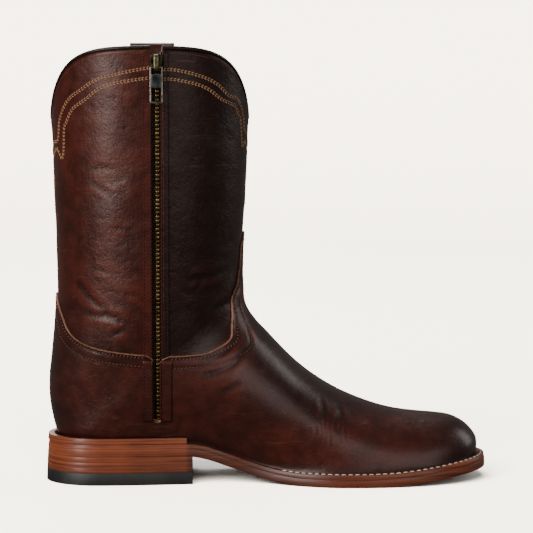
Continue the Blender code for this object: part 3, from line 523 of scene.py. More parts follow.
def from_slot(points, width=SLOT_WIDTH):
    """How far points lie outside the zip's slot, which is open at the top and round at the bottom."""
    beside = np.abs(points[:, 0] - ZIP_LINE)
    below = np.maximum(ZIP_BOTTOM + width / 2 - points[:, 2], 0)
    return np.where(points[:, 1] < 0, np.hypot(beside, below) - width / 2, 1.0)


def trough(points, crease):
    """Height of the leather at one crease: a soft trough with a low ridge on either side."""
    path = np.array(crease.path, float) / 1000
    knots = np.linspace(0, 1, len(path))
    t = np.linspace(0, 1, 25)
    line = np.array((natural(knots, path[:, 0], t), natural(knots, path[:, 1], t))).T
    width = crease.width / 1000
    height = np.zeros(len(points))
    low, high = line.min(0) - 6 * width, line.max(0) + 6 * width
    flat = points[:, (0, 2)]
    near = ((flat > low) & (flat < high)).all(1)
    if crease.side:
        near &= np.sign(points[:, 1]) == crease.side
    gap = flat[near][:, None, :] - line
    far = np.linalg.norm(gap, axis=2)
    closest = far.argmin(1)
    d = far.min(1) / width
    ends = smoothstep(np.minimum(t[closest], 1 - t[closest]) / 0.35)
    form = -np.exp(-d * d) + 0.45 * np.exp(-((d - 1.9) ** 2) / 0.8)
    height[near] = crease.depth / 1000 * form * ends
    return height


def folds(points):
    """Height of the listed creases."""
    return sum(trough(points, crease) for crease in CREASES)


def creases(points):
    """Height of the leather over its smooth face: the folds and a slow unevenness."""
    height = folds(points)
    x, y, z = (points / 0.001).T
    slow = np.sin(x / 13 + 1.3 * np.sin(z / 21)) * np.sin(z / 11 + np.sin(x / 17) + y / 40)
    slow += 0.5 * np.sin(x / 6.1 + z / 9.7 + y / 15) * np.sin(z / 5.3 - x / 11)
    leg = smoothstep((z - 95) / 50) * smoothstep((286 - z) / 30)
    return height + 0.00016 * slow * (0.35 + 0.65 * leg)


def linear(code):
    """A colour as Blender counts it, from its sRGB hex code."""
    parts = [int(code[i : i + 2], 16) / 255 for i in (1, 3, 5)]
    return tuple(c / 12.92 if c <= 0.04045 else ((c + 0.055) / 1.055) ** 2.4 for c in parts)


def colour(name, description, code):
    shade = linear(code)
    return FloatVectorProperty(name=name, description=description, subtype="COLOR", size=3, default=shade)


def length(name, description, default):
    return FloatProperty(name=name, description=description, default=default, min=0.0, unit="LENGTH")


def amount(name, description, default):
    return FloatProperty(name=name, description=description, default=default, min=0.0)


class BootLeather(bpy.types.PropertyGroup):
    """Leather, thread and trim"""

    leather: colour("Leather", "Oiled leather where light falls on it", "#481a12")
    # The dark end of the leather's colours: real burnishing, and also the painted shade of the shaft's inner
    # front and of the creases' troughs
    burnish_and_shade: colour("Burnish", "Leather rubbed dark at toe, heel and edges", "#0b0403")
    raw_edge: colour("Cut Edge", "Cut edge of the leather", "#8a4e30")
    lining: colour("Lining", "Lining leather", "#c07a38")
    thread: colour("Thread", "Thread of the rows below the collar", "#b5835a")
    dark_thread: colour("Dark Thread", "Thread of vamp, counter and zip", "#241009")
    bead: colour("Bead", "Binding of the collar", "#120a08")
    grain: length("Grain", "Distance between the leather's pores", 0.0011)
    stitch: length("Stitch", "Distance between two stitches of the upper", 0.0025)


class BootSole(bpy.types.PropertyGroup):
    """Welt, sole and heel"""

    edge: colour("Edge", "Stained edge of welt and sole", "#a0502c")
    waist: colour("Waist", "Edge of the sole under the arch, stained darker", "#6e3620")
    stack: colour("Heel Stack", "Stacked leather of the heel", "#994b29")
    rubber: colour("Rubber", "Rubber top piece of the heel", "#0d0d0d")
    thread: colour("Welt Thread", "Thread of the welt's stitches", "#e8dcc8")
    pitch: length("Welt Stitch", "Distance between two welt stitches", 0.0047)
    start: length("Stitches Start", "Where the welt's stitches start, from the heel's back", 0.161)


class BootZip(bpy.types.PropertyGroup):
    """Zip on the inner side"""

    brass: colour("Brass", "Aged brass of the teeth", "#b08a52")
    slider: colour("Slider", "Olive-brown plating of the slider", "#7a7050")
    nickel: colour("Pull", "Dark nickel of the pull", "#938c80")
    tape: colour("Tape", "Cloth tape", "#0e0a09")


class BootStage(bpy.types.PropertyGroup):
    """Floor, light and camera"""

    floor: colour("Floor", "Pale paper floor", "#f1eee9")
    focal: amount("Lens", "Focal length in millimetres", 166.0)
    key: amount("Key Light", "Power of the large soft light", 35.0)
    top: amount("Top Light", "Power of the light above and behind", 20.0)
    fill: amount("Fill Light", "Power of the weak light from the front", 9.0)
    rim: amount("Rim Light", "Power of the light behind the toe", 10.0)
    paper: amount("Paper Light", "Strength of the light on the floor", 24.0)
    room: amount("Room Light", "Strength of the light all round", 0.15)


def leather_settings():
    return bpy.context.scene.boot_leather


def sole_settings():
    return bpy.context.scene.boot_sole


def zip_settings():
    return bpy.context.scene.boot_zip


# Working with meshes
def read(bm):
    return np.array([v.co for v in bm.verts])


def write(bm, points):
    for v, place in zip(bm.verts, points):
        v.co = place


def move(bm, by):
    bmesh.ops.translate(bm, verts=bm.verts, vec=by)


def sheet(columns, rows):
    """A flat sheet of squares from -1 to 1."""
    bm = bmesh.new()
    bmesh.ops.create_grid(bm, x_segments=columns, y_segments=rows, size=1.0)
    return bm


def weld(bm, reach=WELD):
    bmesh.ops.remove_doubles(bm, verts=bm.verts, dist=reach)
    bmesh.ops.dissolve_degenerate(bm, edges=bm.edges, dist=WELD)


def raise_sheet(bm, by=(0, 0, 0)):
    """Give a sheet a second face, and give back the points of that face."""
    raised = bmesh.ops.extrude_face_region(bm, geom=bm.faces[:])["geom"]
    raised = [v for v in raised if isinstance(v, bmesh.types.BMVert)]
    bmesh.ops.translate(bm, verts=raised, vec=by)
    return raised


def bevel(bm, edges, rounded):
    bmesh.ops.bevel(
        bm,
        geom=edges,
        offset=rounded,
        segments=2,
        profile=0.5,
        affect="EDGES",
        material=-1,
        clamp_overlap=True,
    )


def round_edges(bm, rounded, sharp=0.6):
    """Round the edges that turn by more than an angle."""
    bm.normal_update()
    bevel(bm, [e for e in bm.edges if e.is_manifold and e.calc_face_angle() > sharp], rounded)


def block(size, place, rounded):
    """A rounded block."""
    bm = bmesh.new()
    bmesh.ops.create_cube(bm, size=1.0)
    bmesh.ops.scale(bm, verts=bm.verts, vec=size)
    bevel(bm, bm.edges[:], rounded)
    move(bm, place)
    return bm


def look_to(bm, side):
    """Make the faces of an open sheet look to the inner (-1) or the outer (1) side."""
    bm.normal_update()
    if sum(v.normal.y for v in bm.verts) * side < 0:
        bmesh.ops.reverse_faces(bm, faces=bm.faces)


def turn_out(bm):
    """Make the faces of an open surface of the upper look outwards."""
    bmesh.ops.recalc_face_normals(bm, faces=bm.faces)
    bm.normal_update()
    middle = sum((v.co for v in bm.verts), Vector()) / len(bm.verts)
    if sum((v.co - middle).dot(v.normal) for v in bm.verts) < 0:
        bmesh.ops.reverse_faces(bm, faces=bm.faces)
        bm.normal_update()


def mesh_of(name, bm):
    mesh = bpy.data.meshes.new(name)
    bm.to_mesh(mesh)
    bm.free()
    return mesh


def shown(name, mesh):
    """An object of the scene with a mesh."""
    for polygon in mesh.polygons:
        polygon.use_smooth = True
    piece = bpy.data.objects.new(name, mesh)
    bpy.context.scene.collection.objects.link(piece)
    return piece


def put(name, bm, *materials, body="boot", node=None, slot=None, sharp=40.0):
    """Turn a mesh, in sizes from the heel's back, into a piece that rides on a body."""
    move(bm, -ORIGIN)
    mesh = mesh_of(name, bm)
    piece = shown(name, mesh)
    mesh.set_sharp_from_angle(angle=math.radians(sharp))
    for made in materials:
        mesh.materials.append(made)
    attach(piece, body)
    if node:
        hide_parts(node)
    return piece


def run_along(points, power=1.0):
    """Distance along a broken line at each of its points."""
    steps = np.linalg.norm(np.diff(points, axis=0), axis=1) ** power
    return np.concatenate(((0,), np.cumsum(steps)))


def pattern(step):
    """The upper's leather laid flat: x counts its rows from toe to collar, y runs across the top line."""
    u = np.linspace(0, RIM, 700)
    lines = [upper_point(u, np.full(len(u), angle), 1).T for angle in (10.0, 60.0, 120.0, 170.0)]
    run = sum(run_along(line) for line in lines) / len(lines)
    bm = sheet(int(run[-1] / step), 2 * int(HALF_GIRTH / step))
    flat = read(bm)
    flat[:, 0] = np.interp((flat[:, 0] + 1) / 2 * run[-1], run, u)
    write(bm, flat)
    return bm


def cut(bm, height, keep=0, reach=1.0):
    """Cut the flat leather along a line of its worn shape, and keep what lies over (1) or under (-1) it."""
    flat = read(bm)
    lift = height(on_upper(flat[:, 0], flat[:, 1]))
    for v, high in zip(bm.verts, lift):
        v.co.z = high
    near = [v for v, high in zip(bm.verts, lift) if abs(high) < reach]
    inside = set(near)
    edges = [e for e in bm.edges if inside.issuperset(e.verts)]
    faces = [f for f in bm.faces if inside.issuperset(f.verts)]
    bmesh.ops.bisect_plane(
        bm,
        geom=near + edges + faces,
        dist=0.00012,
        plane_co=(0, 0, 0),
        plane_no=(0, 0, 1),
        clear_inner=keep > 0,
        clear_outer=keep < 0,
    )
    for v in bm.verts:
        v.co.z = 0


def wear(bm, lay):
    """Wrap flat leather round the last. lay gives how far out it lies, from its points and seam distances."""
    flat = read(bm)
    write(bm, on_upper(flat[:, 0], flat[:, 1]))
    soft = [v for v, (u, s, _) in zip(bm.verts, flat) if abs(u - CORNER) < 4 and abs(s) > 0.42]
    weld(bm, 2 * WELD)
    turn_out(bm)
    soft = [v for v in soft if v.is_valid and not v.is_boundary and v.co.z < SOFT_HEEL]
    for _ in range(40):
        bmesh.ops.smooth_vert(bm, verts=soft, factor=0.5, use_axis_x=True, use_axis_y=True, use_axis_z=True)
    bm.normal_update()
    points = read(bm)
    normals = np.array([v.normal for v in bm.verts])
    over_seat = points[:, 2] - sole_bottom(points[:, 0]) - SEAT
    border = np.array([v.is_boundary for v in bm.verts]) & (over_seat < VAMP_STEP)
    normals[:, 2] *= np.where(border, 0, np.clip(over_seat / (3 * SHAFT_WALL), 0, 1))
    normals /= np.linalg.norm(normals, axis=1)[:, None]
    seam = from_seam(points)
    placed = points + normals * lay(points, seam)[:, None]
    placed[border, 2] = sole_bottom(placed[border, 0]) + SEAT - GAP
    write(bm, placed)
    bm.normal_update()
    return points, seam, over_seat


def tone_of(bm, tone):
    """Keep on each point how bright or dark the leather is there: burnishing and wear, and in places painted
    shade and highlight.
    """
    layer = bm.verts.layers.float.new("tone")
    for v, value in zip(bm.verts, tone):
        v[layer] = value


def thicken(piece, thickness, offset=-1.0, rim=1):
    modifier = piece.modifiers.new("Leather thickness", "SOLIDIFY")
    modifier.thickness = thickness
    modifier.offset = offset
    modifier.material_offset_rim = rim
    modifier.use_even_offset = False


def tree_of(*names):
    """The named pieces, ready to be touched by stitches and trim."""
    graph = bpy.context.evaluated_depsgraph_get()
    trees = []
    for name in names:
        piece = bpy.data.objects.get(name)
        if piece is None:
            raise RuntimeError(f"the piece {name} has to be made first")
        trees.append(BVHTree.FromObject(piece, graph))
    return trees


def smooth_last():
    """The upper's face without layers or creases, to set trim on."""
    bm = pattern(0.004)
    flat = read(bm)
    write(bm, on_upper(flat[:, 0], flat[:, 1]))
    weld(bm, 2 * WELD)
    move(bm, -ORIGIN)
    tree = BVHTree.FromBMesh(bm)
    bm.free()
    return [tree]


def touch(trees, start, toward):
    """Where a straight line first meets one of the pieces, and the way out there."""
    best = None
    for tree in trees:
        place, normal, _, far = tree.ray_cast(start - ORIGIN, toward)
        if place is not None and (best is None or far < best[2]):
            best = (place + ORIGIN, normal, far)
    if best is None:
        raise RuntimeError(f"nothing is met from {tuple(start)}")
    place, normal, _ = best
    return place, normal if normal.dot(toward) < 0 else -normal


def side_point(trees, x, z, side, held=None):
    """Place and way out on one side of the boot. held is another x to meet, clear of the zip's slot."""
    start = Vector((held if held is not None else x, side * 0.2, z))
    place, out = touch(trees, start, Vector((0, -side, 0)))
    place.x = x
    return place, out


def frame_at(place, out, run, twist=0.0):
    """Axes at a place: x along the run, z outwards."""
    out = out.normalized()
    run = (run - out * run.dot(out)).normalized()
    axes = Matrix((run, out.cross(run), out)).transposed().to_4x4()
    return Matrix.Translation(place) @ axes @ Matrix.Rotation(twist, 4, "Z")


def repeat(mesh, places):
    """Copies of one small mesh at many places, as one mesh."""
    bm = bmesh.new()
    for place in places:
        mesh.transform(place)
        bm.from_mesh(mesh)
        mesh.transform(place.inverted())
    bpy.data.meshes.remove(mesh)
    return bm


def joined(parts):
    """Several bodies as one mesh."""
    whole = bmesh.new()
    for part in parts:
        mesh = mesh_of("part", part)
        whole.from_mesh(mesh)
        bpy.data.meshes.remove(mesh)
    return whole


# Paths and rows of stitches
def at_run(run, points, t):
    """Points of a broken line at given distances along it."""
    return np.array([np.interp(t, run, column) for column in points.T]).T


def even_points(points, step):
    """Points at even distances along a broken line."""
    run = run_along(points)
    count = max(2, int(round(run[-1] / step)))
    return at_run(run, points, (np.arange(count) + 0.5) / count * run[-1])


def curve_through(points, count):
    """Points on a smooth curve through the given ones."""
    run = run_along(points, 0.8)
    t = np.linspace(0, run[-1], count)
    return np.array([natural(run, column, t) for column in points.T]).T


def stitch_row(trees, path, step, twist=0.0, sideways=0.0):
    """Places of one row. path: rows of a start point and the direction in which the leather is met."""
    met = [touch(trees, Vector(p[:3]), Vector(p[3:]).normalized()) for p in path]
    spots = even_points(np.array([[*place, *out] for place, out in met]), 0.0004)
    run = run_along(spots[:, :3])
    count = max(2, int(round(run[-1] / step)))
    places = []
    for moment in (np.arange(count) + 0.5) / count * run[-1]:
        middle = at_run(run, spots, moment)
        ahead = at_run(run, spots, min(moment + 0.0006, run[-1]))
        behind = at_run(run, spots, max(moment - 0.0006, 0))
        out = Vector(middle[3:]).normalized()
        run_here = Vector(ahead[:3] - behind[:3])
        across = out.cross(run_here).normalized()
        place = Vector(middle[:3]) + out * STITCH_LIFT + across * sideways
        places.append(frame_at(place, out, run_here, twist))
    return places


def sewn(name, groups, made, length, width, height):
    """One piece of many stitches, each a small rounded grain along its row."""
    bm = bmesh.new()
    bmesh.ops.create_uvsphere(bm, u_segments=6, v_segments=5, radius=0.5)
    bmesh.ops.rotate(bm, verts=bm.verts, matrix=Matrix.Rotation(math.pi / 2, 3, "Y"))
    bmesh.ops.scale(bm, verts=bm.verts, vec=(length, width, height))
    places = [place for group in groups for place in group]
    return put(name, repeat(mesh_of("one stitch", bm), places), made)


def from_side(points, side):
    """A path seen from the side: x and z, met from the inner (-1) or outer (1) side."""
    return [(x, side * 0.2, z, 0, -side, 0) for x, z in points]


def from_end(points, end, side, lowered=0.0):
    """A path seen from the front (1) or the back (-1): millimetres from the middle and height."""
    start = AXIS + end * 0.3
    return [(start, side * y / 1000, (z - lowered) / 1000, -end, 0, 0) for y, z in points]


def upright(x, low, high, side):
    """A path straight up one side."""
    return from_side([(x, z) for z in np.linspace(low, high, 60)], side)


def seam_row(side, below, low=0.0, high=180.0):
    """A path on vamp and counter that keeps its distance from the seam, met from outside the leg."""
    line = seam_line(side)
    run = np.gradient(line, axis=0)
    square = np.array((run[:, 1], -run[:, 0])).T / np.linalg.norm(run, axis=1)[:, None]
    shifted = line + square * below
    apart = np.linalg.norm(shifted[:, None, :] - line[None], axis=2).min(1)
    angle = np.degrees(shifted[:, 0] / ANKLE_RADIUS)
    path = []
    for distance, z in shifted[(apart > below * 0.985) & (angle > low) & (angle < high)]:
        turn = distance / ANKLE_RADIUS
        x, y = math.cos(turn), side * math.sin(turn)
        path.append((AXIS + 0.25 * x, 0.25 * y, z, -x, -y, 0))
    return path


# Materials
def fill(made, values):
    """Set a node's properties and inputs. A value that is another node's output is linked."""
    for key, value in values.items():
        if isinstance(value, bpy.types.NodeSocket):
            made.id_data.links.new(value, made.inputs[key])
        elif isinstance(key, int) or key in made.inputs:
            made.inputs[key].default_value = value
        else:
            setattr(made, key, value)


def start_material(name):
    """A material, its shader, a function that adds a node and gives its outputs, and the place on a piece."""
    made = bpy.data.materials.new(name)
    made.use_nodes = True
    tree = made.node_tree

    def add(kind, values, stops=()):
        new = tree.nodes.new("ShaderNode" + kind)
        fill(new, values)
        if stops:
            elements = new.color_ramp.elements
            elements[0].position, elements[1].position = stops[0][0], stops[-1][0]
            for place, _ in stops[1:-1]:
                elements.new(place)
            for element, (_, shade) in zip(elements, stops):
                element.color = (*shade, 1)
        return new.outputs

    return made, tree.nodes["Principled BSDF"], add, add("TexCoord", {})["Object"]


def mixed(one, two, share):
    return tuple(a + (b - a) * share for a, b in zip(one, two))


BLACK = (0.0, 0.0, 0.0)


def oiled_leather(name, low, high):
    """Pull-up cowhide, waxed and drum-dyed: uneven red-brown with dark burnishing, painted shade and
    highlight, low pores, a soft gloss.
    """
    made, shader, add, place = start_material(name)
    tone = add("Attribute", {"attribute_name": "tone"})["Fac"]
    # Cloudy dye, in patches of about 40 mm and 9 mm
    clouds = {"Vector": place, "Scale": 28.0, "Detail": 4.0, "Roughness": 0.6, "Distortion": 0.8}
    mottle = {"Vector": place, "Scale": 110.0, "Detail": 4.0, "Roughness": 0.62}
    clouds, mottle = add("TexNoise", clouds)["Fac"], add("TexNoise", mottle)["Fac"]
    cloudy = add("Math", {"operation": "MULTIPLY_ADD", 0: clouds, 1: 1.05, 2: -0.02})
    speckled = add("Math", {"operation": "MULTIPLY_ADD", 0: mottle, 1: 0.62, 2: cloudy[0]})
    # The tone carries burnishing and wear, and painted shade and highlight, into the colour
    shade = add("Math", {"operation": "MULTIPLY", 0: speckled[0], 1: tone})
    middle, bright = mixed(low, high, 0.22), mixed(low, high, 0.55)
    colouring = add("ValToRGB", {"Fac": shade[0]}, ((0.08, low), (0.46, middle), (0.74, bright), (1.0, high)))
    # Light scuffs, thin lines of 10 to 30 mm, where the wax has broken
    slanted = add("Mapping", {"Vector": place, "Scale": (30.0, 30.0, 240.0), "Rotation": (0.3, 0.5, 0.2)})[0]
    scuffs = {"Vector": slanted, "Scale": 1.0, "Detail": 5.0, "Roughness": 0.7, "Distortion": 1.2}
    scuffs = add("TexNoise", scuffs)["Fac"]
    lines = add("MapRange", {"Value": scuffs, "From Min": 0.60, "From Max": 0.74, "To Max": 0.34})
    broken = (*mixed(high, (0.45, 0.25, 0.16), 0.25), 1)
    worn = add("Mix", {"data_type": "RGBA", 0: lines[0], 6: colouring["Color"], 7: broken})
    # Vamp and counter are polished more than the shaft
    polish = {"From Min": 0.080, "From Max": 0.120, "To Min": 0.40, "To Max": 0.12}
    polish = add("MapRange", {"Value": add("SeparateXYZ", {"Vector": place})["Z"], **polish})
    rough = {"From Min": 0.3, "From Max": 0.75, "To Min": 0.32, "To Max": 0.48}
    rough = add("MapRange", {"Value": mottle, **rough})
    # Pores, drawn at 1.1 mm, about twice the real distance, so that they show
    pores = add("TexVoronoi", {"Vector": place, "Scale": 1 / leather_settings().grain, "Randomness": 1.0})
    fine = add("TexNoise", {"Vector": place, "Scale": 420.0, "Detail": 3.0, "Roughness": 0.6})
    normal = add("Bump", {"Strength": 0.10, "Distance": 0.0004, "Height": pores["Distance"]})
    for strength, distance, height in ((0.22, 0.0008, fine["Fac"]), (0.30, 0.0022, mottle)):
        bump = {"Strength": strength, "Distance": distance, "Height": height, "Normal": normal[0]}
        normal = add("Bump", bump)
    wax = {"Coat Weight": polish[0], "Coat Roughness": 0.28, "Coat IOR": 1.45}
    fill(shader, {"IOR": 1.38, "Specular Tint": (1.0, 0.74, 0.66, 1), **wax})
    fill(shader, {"Base Color": worn[2], "Roughness": rough[0], "Normal": normal[0]})
    return made


def cut_leather(name, shade, rough=0.62):
    """Cut edge or flesh of vegetable leather: pale, dry and slightly fibrous."""
    made, shader, add, place = start_material(name)
    fibres = add("TexNoise", {"Vector": place, "Scale": 700.0, "Detail": 4.0, "Roughness": 0.7})["Fac"]
    patches = add("TexNoise", {"Vector": place, "Scale": 60.0, "Detail": 3.0})["Fac"]
    both = add("Math", {"operation": "MULTIPLY", 0: fibres, 1: patches})
    stops = ((0.08, mixed(shade, BLACK, 0.45)), (0.45, mixed(shade, (1, 0.8, 0.6), 0.12)))
    colouring = add("ValToRGB", {"Fac": both[0]}, stops)
    dull = add("MapRange", {"Value": fibres, "To Min": rough - 0.1, "To Max": rough + 0.12})
    bump = add("Bump", {"Strength": 0.35, "Distance": 0.0005, "Height": fibres})
    fill(shader, {"IOR": 1.46, "Base Color": colouring["Color"], "Roughness": dull[0], "Normal": bump[0]})
    return made


def sewing_thread(name, shade):
    """Waxed polyester thread, twisted: matt with fine slanted ridges."""
    made, shader, add, place = start_material(name)
    # The ply is 0.25 mm wide in the real thread and drawn at 0.5 mm
    ply = {"Vector": place, "Scale": 640.0, "Distortion": 1.5, "bands_direction": "DIAGONAL"}
    ply = add("TexWave", ply)["Fac"]
    # Painted shade: the grooves of the twist are darker than its ridges
    colouring = add("ValToRGB", {"Fac": ply}, ((0.0, mixed(shade, BLACK, 0.4)), (0.8, shade)))
    wax = add("TexNoise", {"Vector": place, "Scale": 300.0, "Detail": 2.0})["Fac"]
    rough = add("MapRange", {"Value": wax, "To Min": 0.5, "To Max": 0.75})
    bump = add("Bump", {"Strength": 0.5, "Distance": 0.0002, "Height": ply})
    fill(shader, {"IOR": 1.4, "Base Color": colouring["Color"], "Roughness": rough[0], "Normal": bump[0]})
    return made


def stacked_leather(name, heel, waist, fore):
    """Pressed leather layers, stained and waxed: level streaks, dark at the waist and low on the heel."""
    made, shader, add, place = start_material(name)
    parts = add("SeparateXYZ", {"Vector": place})
    along_boot = add("MapRange", {"Value": parts["X"], "From Min": -LENGTH / 2, "From Max": LENGTH / 2})
    stops = ((0.312, heel), (0.322, waist), (0.46, waist), (0.66, fore))
    stain = add("ValToRGB", {"Fac": along_boot[0]}, stops)
    # Layers of 1.2 mm and fibres of 0.3 mm, long along the edge
    layers = add("Mapping", {"Vector": place, "Scale": (7.0, 7.0, 620.0)})[0]
    layer = {"Vector": layers, "Scale": 1.0, "Detail": 5.0, "Roughness": 0.7, "Distortion": 0.25}
    layer = add("TexNoise", layer)["Fac"]
    fibres = add("Mapping", {"Vector": place, "Scale": (50.0, 50.0, 2600.0)})[0]
    fibre = add("TexNoise", {"Vector": fibres, "Scale": 1.0, "Detail": 3.0, "Roughness": 0.6})["Fac"]
    clouds = add("TexNoise", {"Vector": place, "Scale": 38.0, "Detail": 3.0})["Fac"]
    streaks = add("Math", {"operation": "MULTIPLY_ADD", 0: layer, 1: 2.3, 2: -1.12})
    finer = add("Math", {"operation": "MULTIPLY_ADD", 0: fibre, 1: 0.55, 2: streaks[0]})
    whole = add("Math", {"operation": "MULTIPLY_ADD", 0: clouds, 1: 0.5, 2: finer[0]})
    low = {"Value": parts["Z"], "From Min": 0.007, "From Max": 0.020, "To Min": 0.55, "To Max": 1.0}
    depth = add("Math", {"operation": "MULTIPLY", 0: whole[0], 1: add("MapRange", low)[0]})
    stops = ((0.10, (0.16, 0.12, 0.11)), (0.85, (1.0, 1.0, 1.0)), (1.0, (1.0, 1.0, 0.95)))
    tint = add("ValToRGB", {"Fac": depth[0]}, stops)
    colouring = {"data_type": "RGBA", "blend_type": "MULTIPLY", 0: 1.0, 6: stain["Color"], 7: tint["Color"]}
    colouring = add("Mix", colouring)[2]
    rough = add("MapRange", {"Value": fibre, "To Min": 0.34, "To Max": 0.58})
    bump = add("Bump", {"Strength": 0.22, "Distance": 0.0004, "Height": finer[0]})
    wax = {"Coat Weight": 0.18, "Coat Roughness": 0.24}
    fill(shader, {"IOR": 1.40, "Base Color": colouring, "Roughness": rough[0], "Normal": bump[0], **wax})
    return made


def moulded_rubber(name, shade):
    """Black moulded rubber: dull with a fine spark-eroded skin."""
    made, shader, add, place = start_material(name)
    skin = add("TexNoise", {"Vector": place, "Scale": 900.0, "Detail": 3.0})["Fac"]
    dust = add("TexNoise", {"Vector": place, "Scale": 50.0, "Detail": 4.0})["Fac"]
    colouring = add("ValToRGB", {"Fac": dust}, ((0.3, shade), (0.8, mixed(shade, (0.12, 0.11, 0.10), 0.25))))
    rough = add("MapRange", {"Value": dust, "To Min": 0.45, "To Max": 0.66})
    bump = add("Bump", {"Strength": 0.15, "Distance": 0.0002, "Height": skin})
    fill(shader, {"IOR": 1.52, "Base Color": colouring["Color"], "Roughness": rough[0], "Normal": bump[0]})
    return made


def aged_metal(name, shade, dark, rough=0.36):
    """Plated or solid metal left to age: bright on what is rubbed, brown in the hollows."""
    made, shader, add, place = start_material(name)
    tarnish = add("TexNoise", {"Vector": place, "Scale": 260.0, "Detail": 4.0, "Roughness": 0.6})["Fac"]
    colouring = add("ValToRGB", {"Fac": tarnish}, ((0.35, dark), (0.62, shade)))
    dull = add("MapRange", {"Value": tarnish, "To Min": rough - 0.1, "To Max": rough + 0.14})
    scratch = add("TexNoise", {"Vector": place, "Scale": 1500.0, "Detail": 2.0})["Fac"]
    bump = add("Bump", {"Strength": 0.12, "Distance": 0.0001, "Height": scratch})
    fill(shader, {"Metallic": 1.0, "Base Color": colouring["Color"], "Roughness": dull[0], "Normal": bump[0]})
    return made


def woven_tape(name, shade):
    """Knitted polyester zip tape: dull with fine ribs along the zip."""
    made, shader, add, place = start_material(name)
    # Ribs every 0.6 mm
    ribs = {"Vector": place, "Scale": 520.0, "Distortion": 0.4, "bands_direction": "X"}
    cross = {"Vector": place, "Scale": 420.0, "Distortion": 0.6, "bands_direction": "Z"}
    ribs, cross = add("TexWave", ribs)["Fac"], add("TexWave", cross)["Fac"]
    both = add("Math", {"operation": "MULTIPLY", 0: ribs, 1: cross})[0]
    # Painted shade: the hollows of the ribs and courses are darker than their tops
    stops = ((0.0, mixed(shade, BLACK, 0.5)), (1.0, mixed(shade, (0.2, 0.16, 0.14), 0.2)))
    colouring = add("ValToRGB", {"Fac": both}, stops)
    bump = add("Bump", {"Strength": 0.6, "Distance": 0.0003, "Height": both})
    nap = {"Sheen Weight": 0.3, "Sheen Roughness": 0.6}
    fill(shader, {"Base Color": colouring["Color"], "Roughness": 0.85, "Normal": bump[0], **nap})
    return made


def material_once(name, make, *values):
    """The named material, made on first use."""
    return bpy.data.materials.get(name) or make(name, *values)


def upper_leather():
    settings = leather_settings()
    return material_once("pull_up_cowhide", oiled_leather, settings.burnish_and_shade, settings.leather)


def sole_leather():
    settings = sole_settings()
    shades = settings.stack, settings.waist, settings.edge
    return material_once("stacked_sole_leather", stacked_leather, *shades)


def edge_of_leather():
    return material_once("cut_edge", cut_leather, leather_settings().raw_edge)


def rust_thread():
    settings = leather_settings()
    return material_once("rust_thread", sewing_thread, mixed(settings.thread, settings.leather, 0.84))


def tan_thread():
    return material_once("tan_thread", sewing_thread, leather_settings().thread)


# The pieces
def leather_tone(points, seam, over_seat):
    """How bright the leather is at each point. Toe, heel, welt line and seams are burnished darker, and the
    top of the forefoot and the leather beside the zip's slot are darker; the inner front of the shaft and the
    creases' troughs are darkened as painted shade, and the creases' ridges are lighter.
    """
    x, y, z = points.T
    tone = 1 - 0.50 * smoothstep((x - 0.235) / 0.06)
    tone *= 1 - 0.35 * smoothstep((0.030 - x) / 0.03) * smoothstep((0.12 - z) / 0.04)
    tone *= 1 - 0.30 * smoothstep((0.010 - over_seat) / 0.010)
    tone *= 1 - 0.45 * smoothstep((x - 0.12) / 0.04) * smoothstep((over_seat - 0.022) / 0.03)
    tone *= 1 - 0.25 * np.exp(-((seam / 0.004) ** 2))
    for row in STITCH_ROWS:
        tone *= 1 - 0.45 * np.exp(-(((seam + row) / 0.0011) ** 2))
    # The front of the shaft is darker on the inner side: partly its panel dyed darker, partly painted shade
    # where it turns away from the key light
    front_dye_and_shade = smoothstep((x - ZIP_LINE) / 0.004) * (y < 0) * smoothstep(0.2 - y / 0.028)
    tone *= 1 - 0.68 * smoothstep(seam / 0.002) * front_dye_and_shade
    # The creases' ridges are lighter where the wax breaks, and their troughs are painted darker as shade
    tone *= 1 + 0.9 * np.clip(folds(points) / 0.00014, -0.3, 1.0)
    return tone * (1 - 0.35 * np.exp(-((from_slot(points) / 0.003) ** 2)))


def side_seam(points):
    """Depth of the groove down the outer side, where front and back panel meet. Its place is a guess."""
    groove = np.exp(-(((points[:, 0] - SIDE_SEAM) / 0.0009) ** 2))
    return 0.0005 * groove * (points[:, 1] > 0)


def upper_layer(name, bm, worn):
    """A layer of the upper's leather, from its worn mesh and what was measured on it."""
    tone_of(bm, leather_tone(*worn))
    piece = put(name, bm, upper_leather(), edge_of_leather(), node="upper", slot="boot_leather")
    thicken(piece, LEATHER_THICKNESS)


class BOOT_OT_shaft(bpy.types.Operator):
    """Cuts the shaft's leather, wraps it round the leg and creases it"""

    bl_idname = "boot.shaft"
    bl_label = "Shaft"

    def execute(self, context):
        bm = pattern(FINE_STEP)
        cut(bm, lambda points: from_seam(points) + SHAFT_TUCK, keep=1)
        cut(bm, from_slot, keep=1)
        worn = wear(bm, lambda points, seam: creases(points) - side_seam(points))
        upper_layer("shaft", bm, worn)
        return {"FINISHED"}


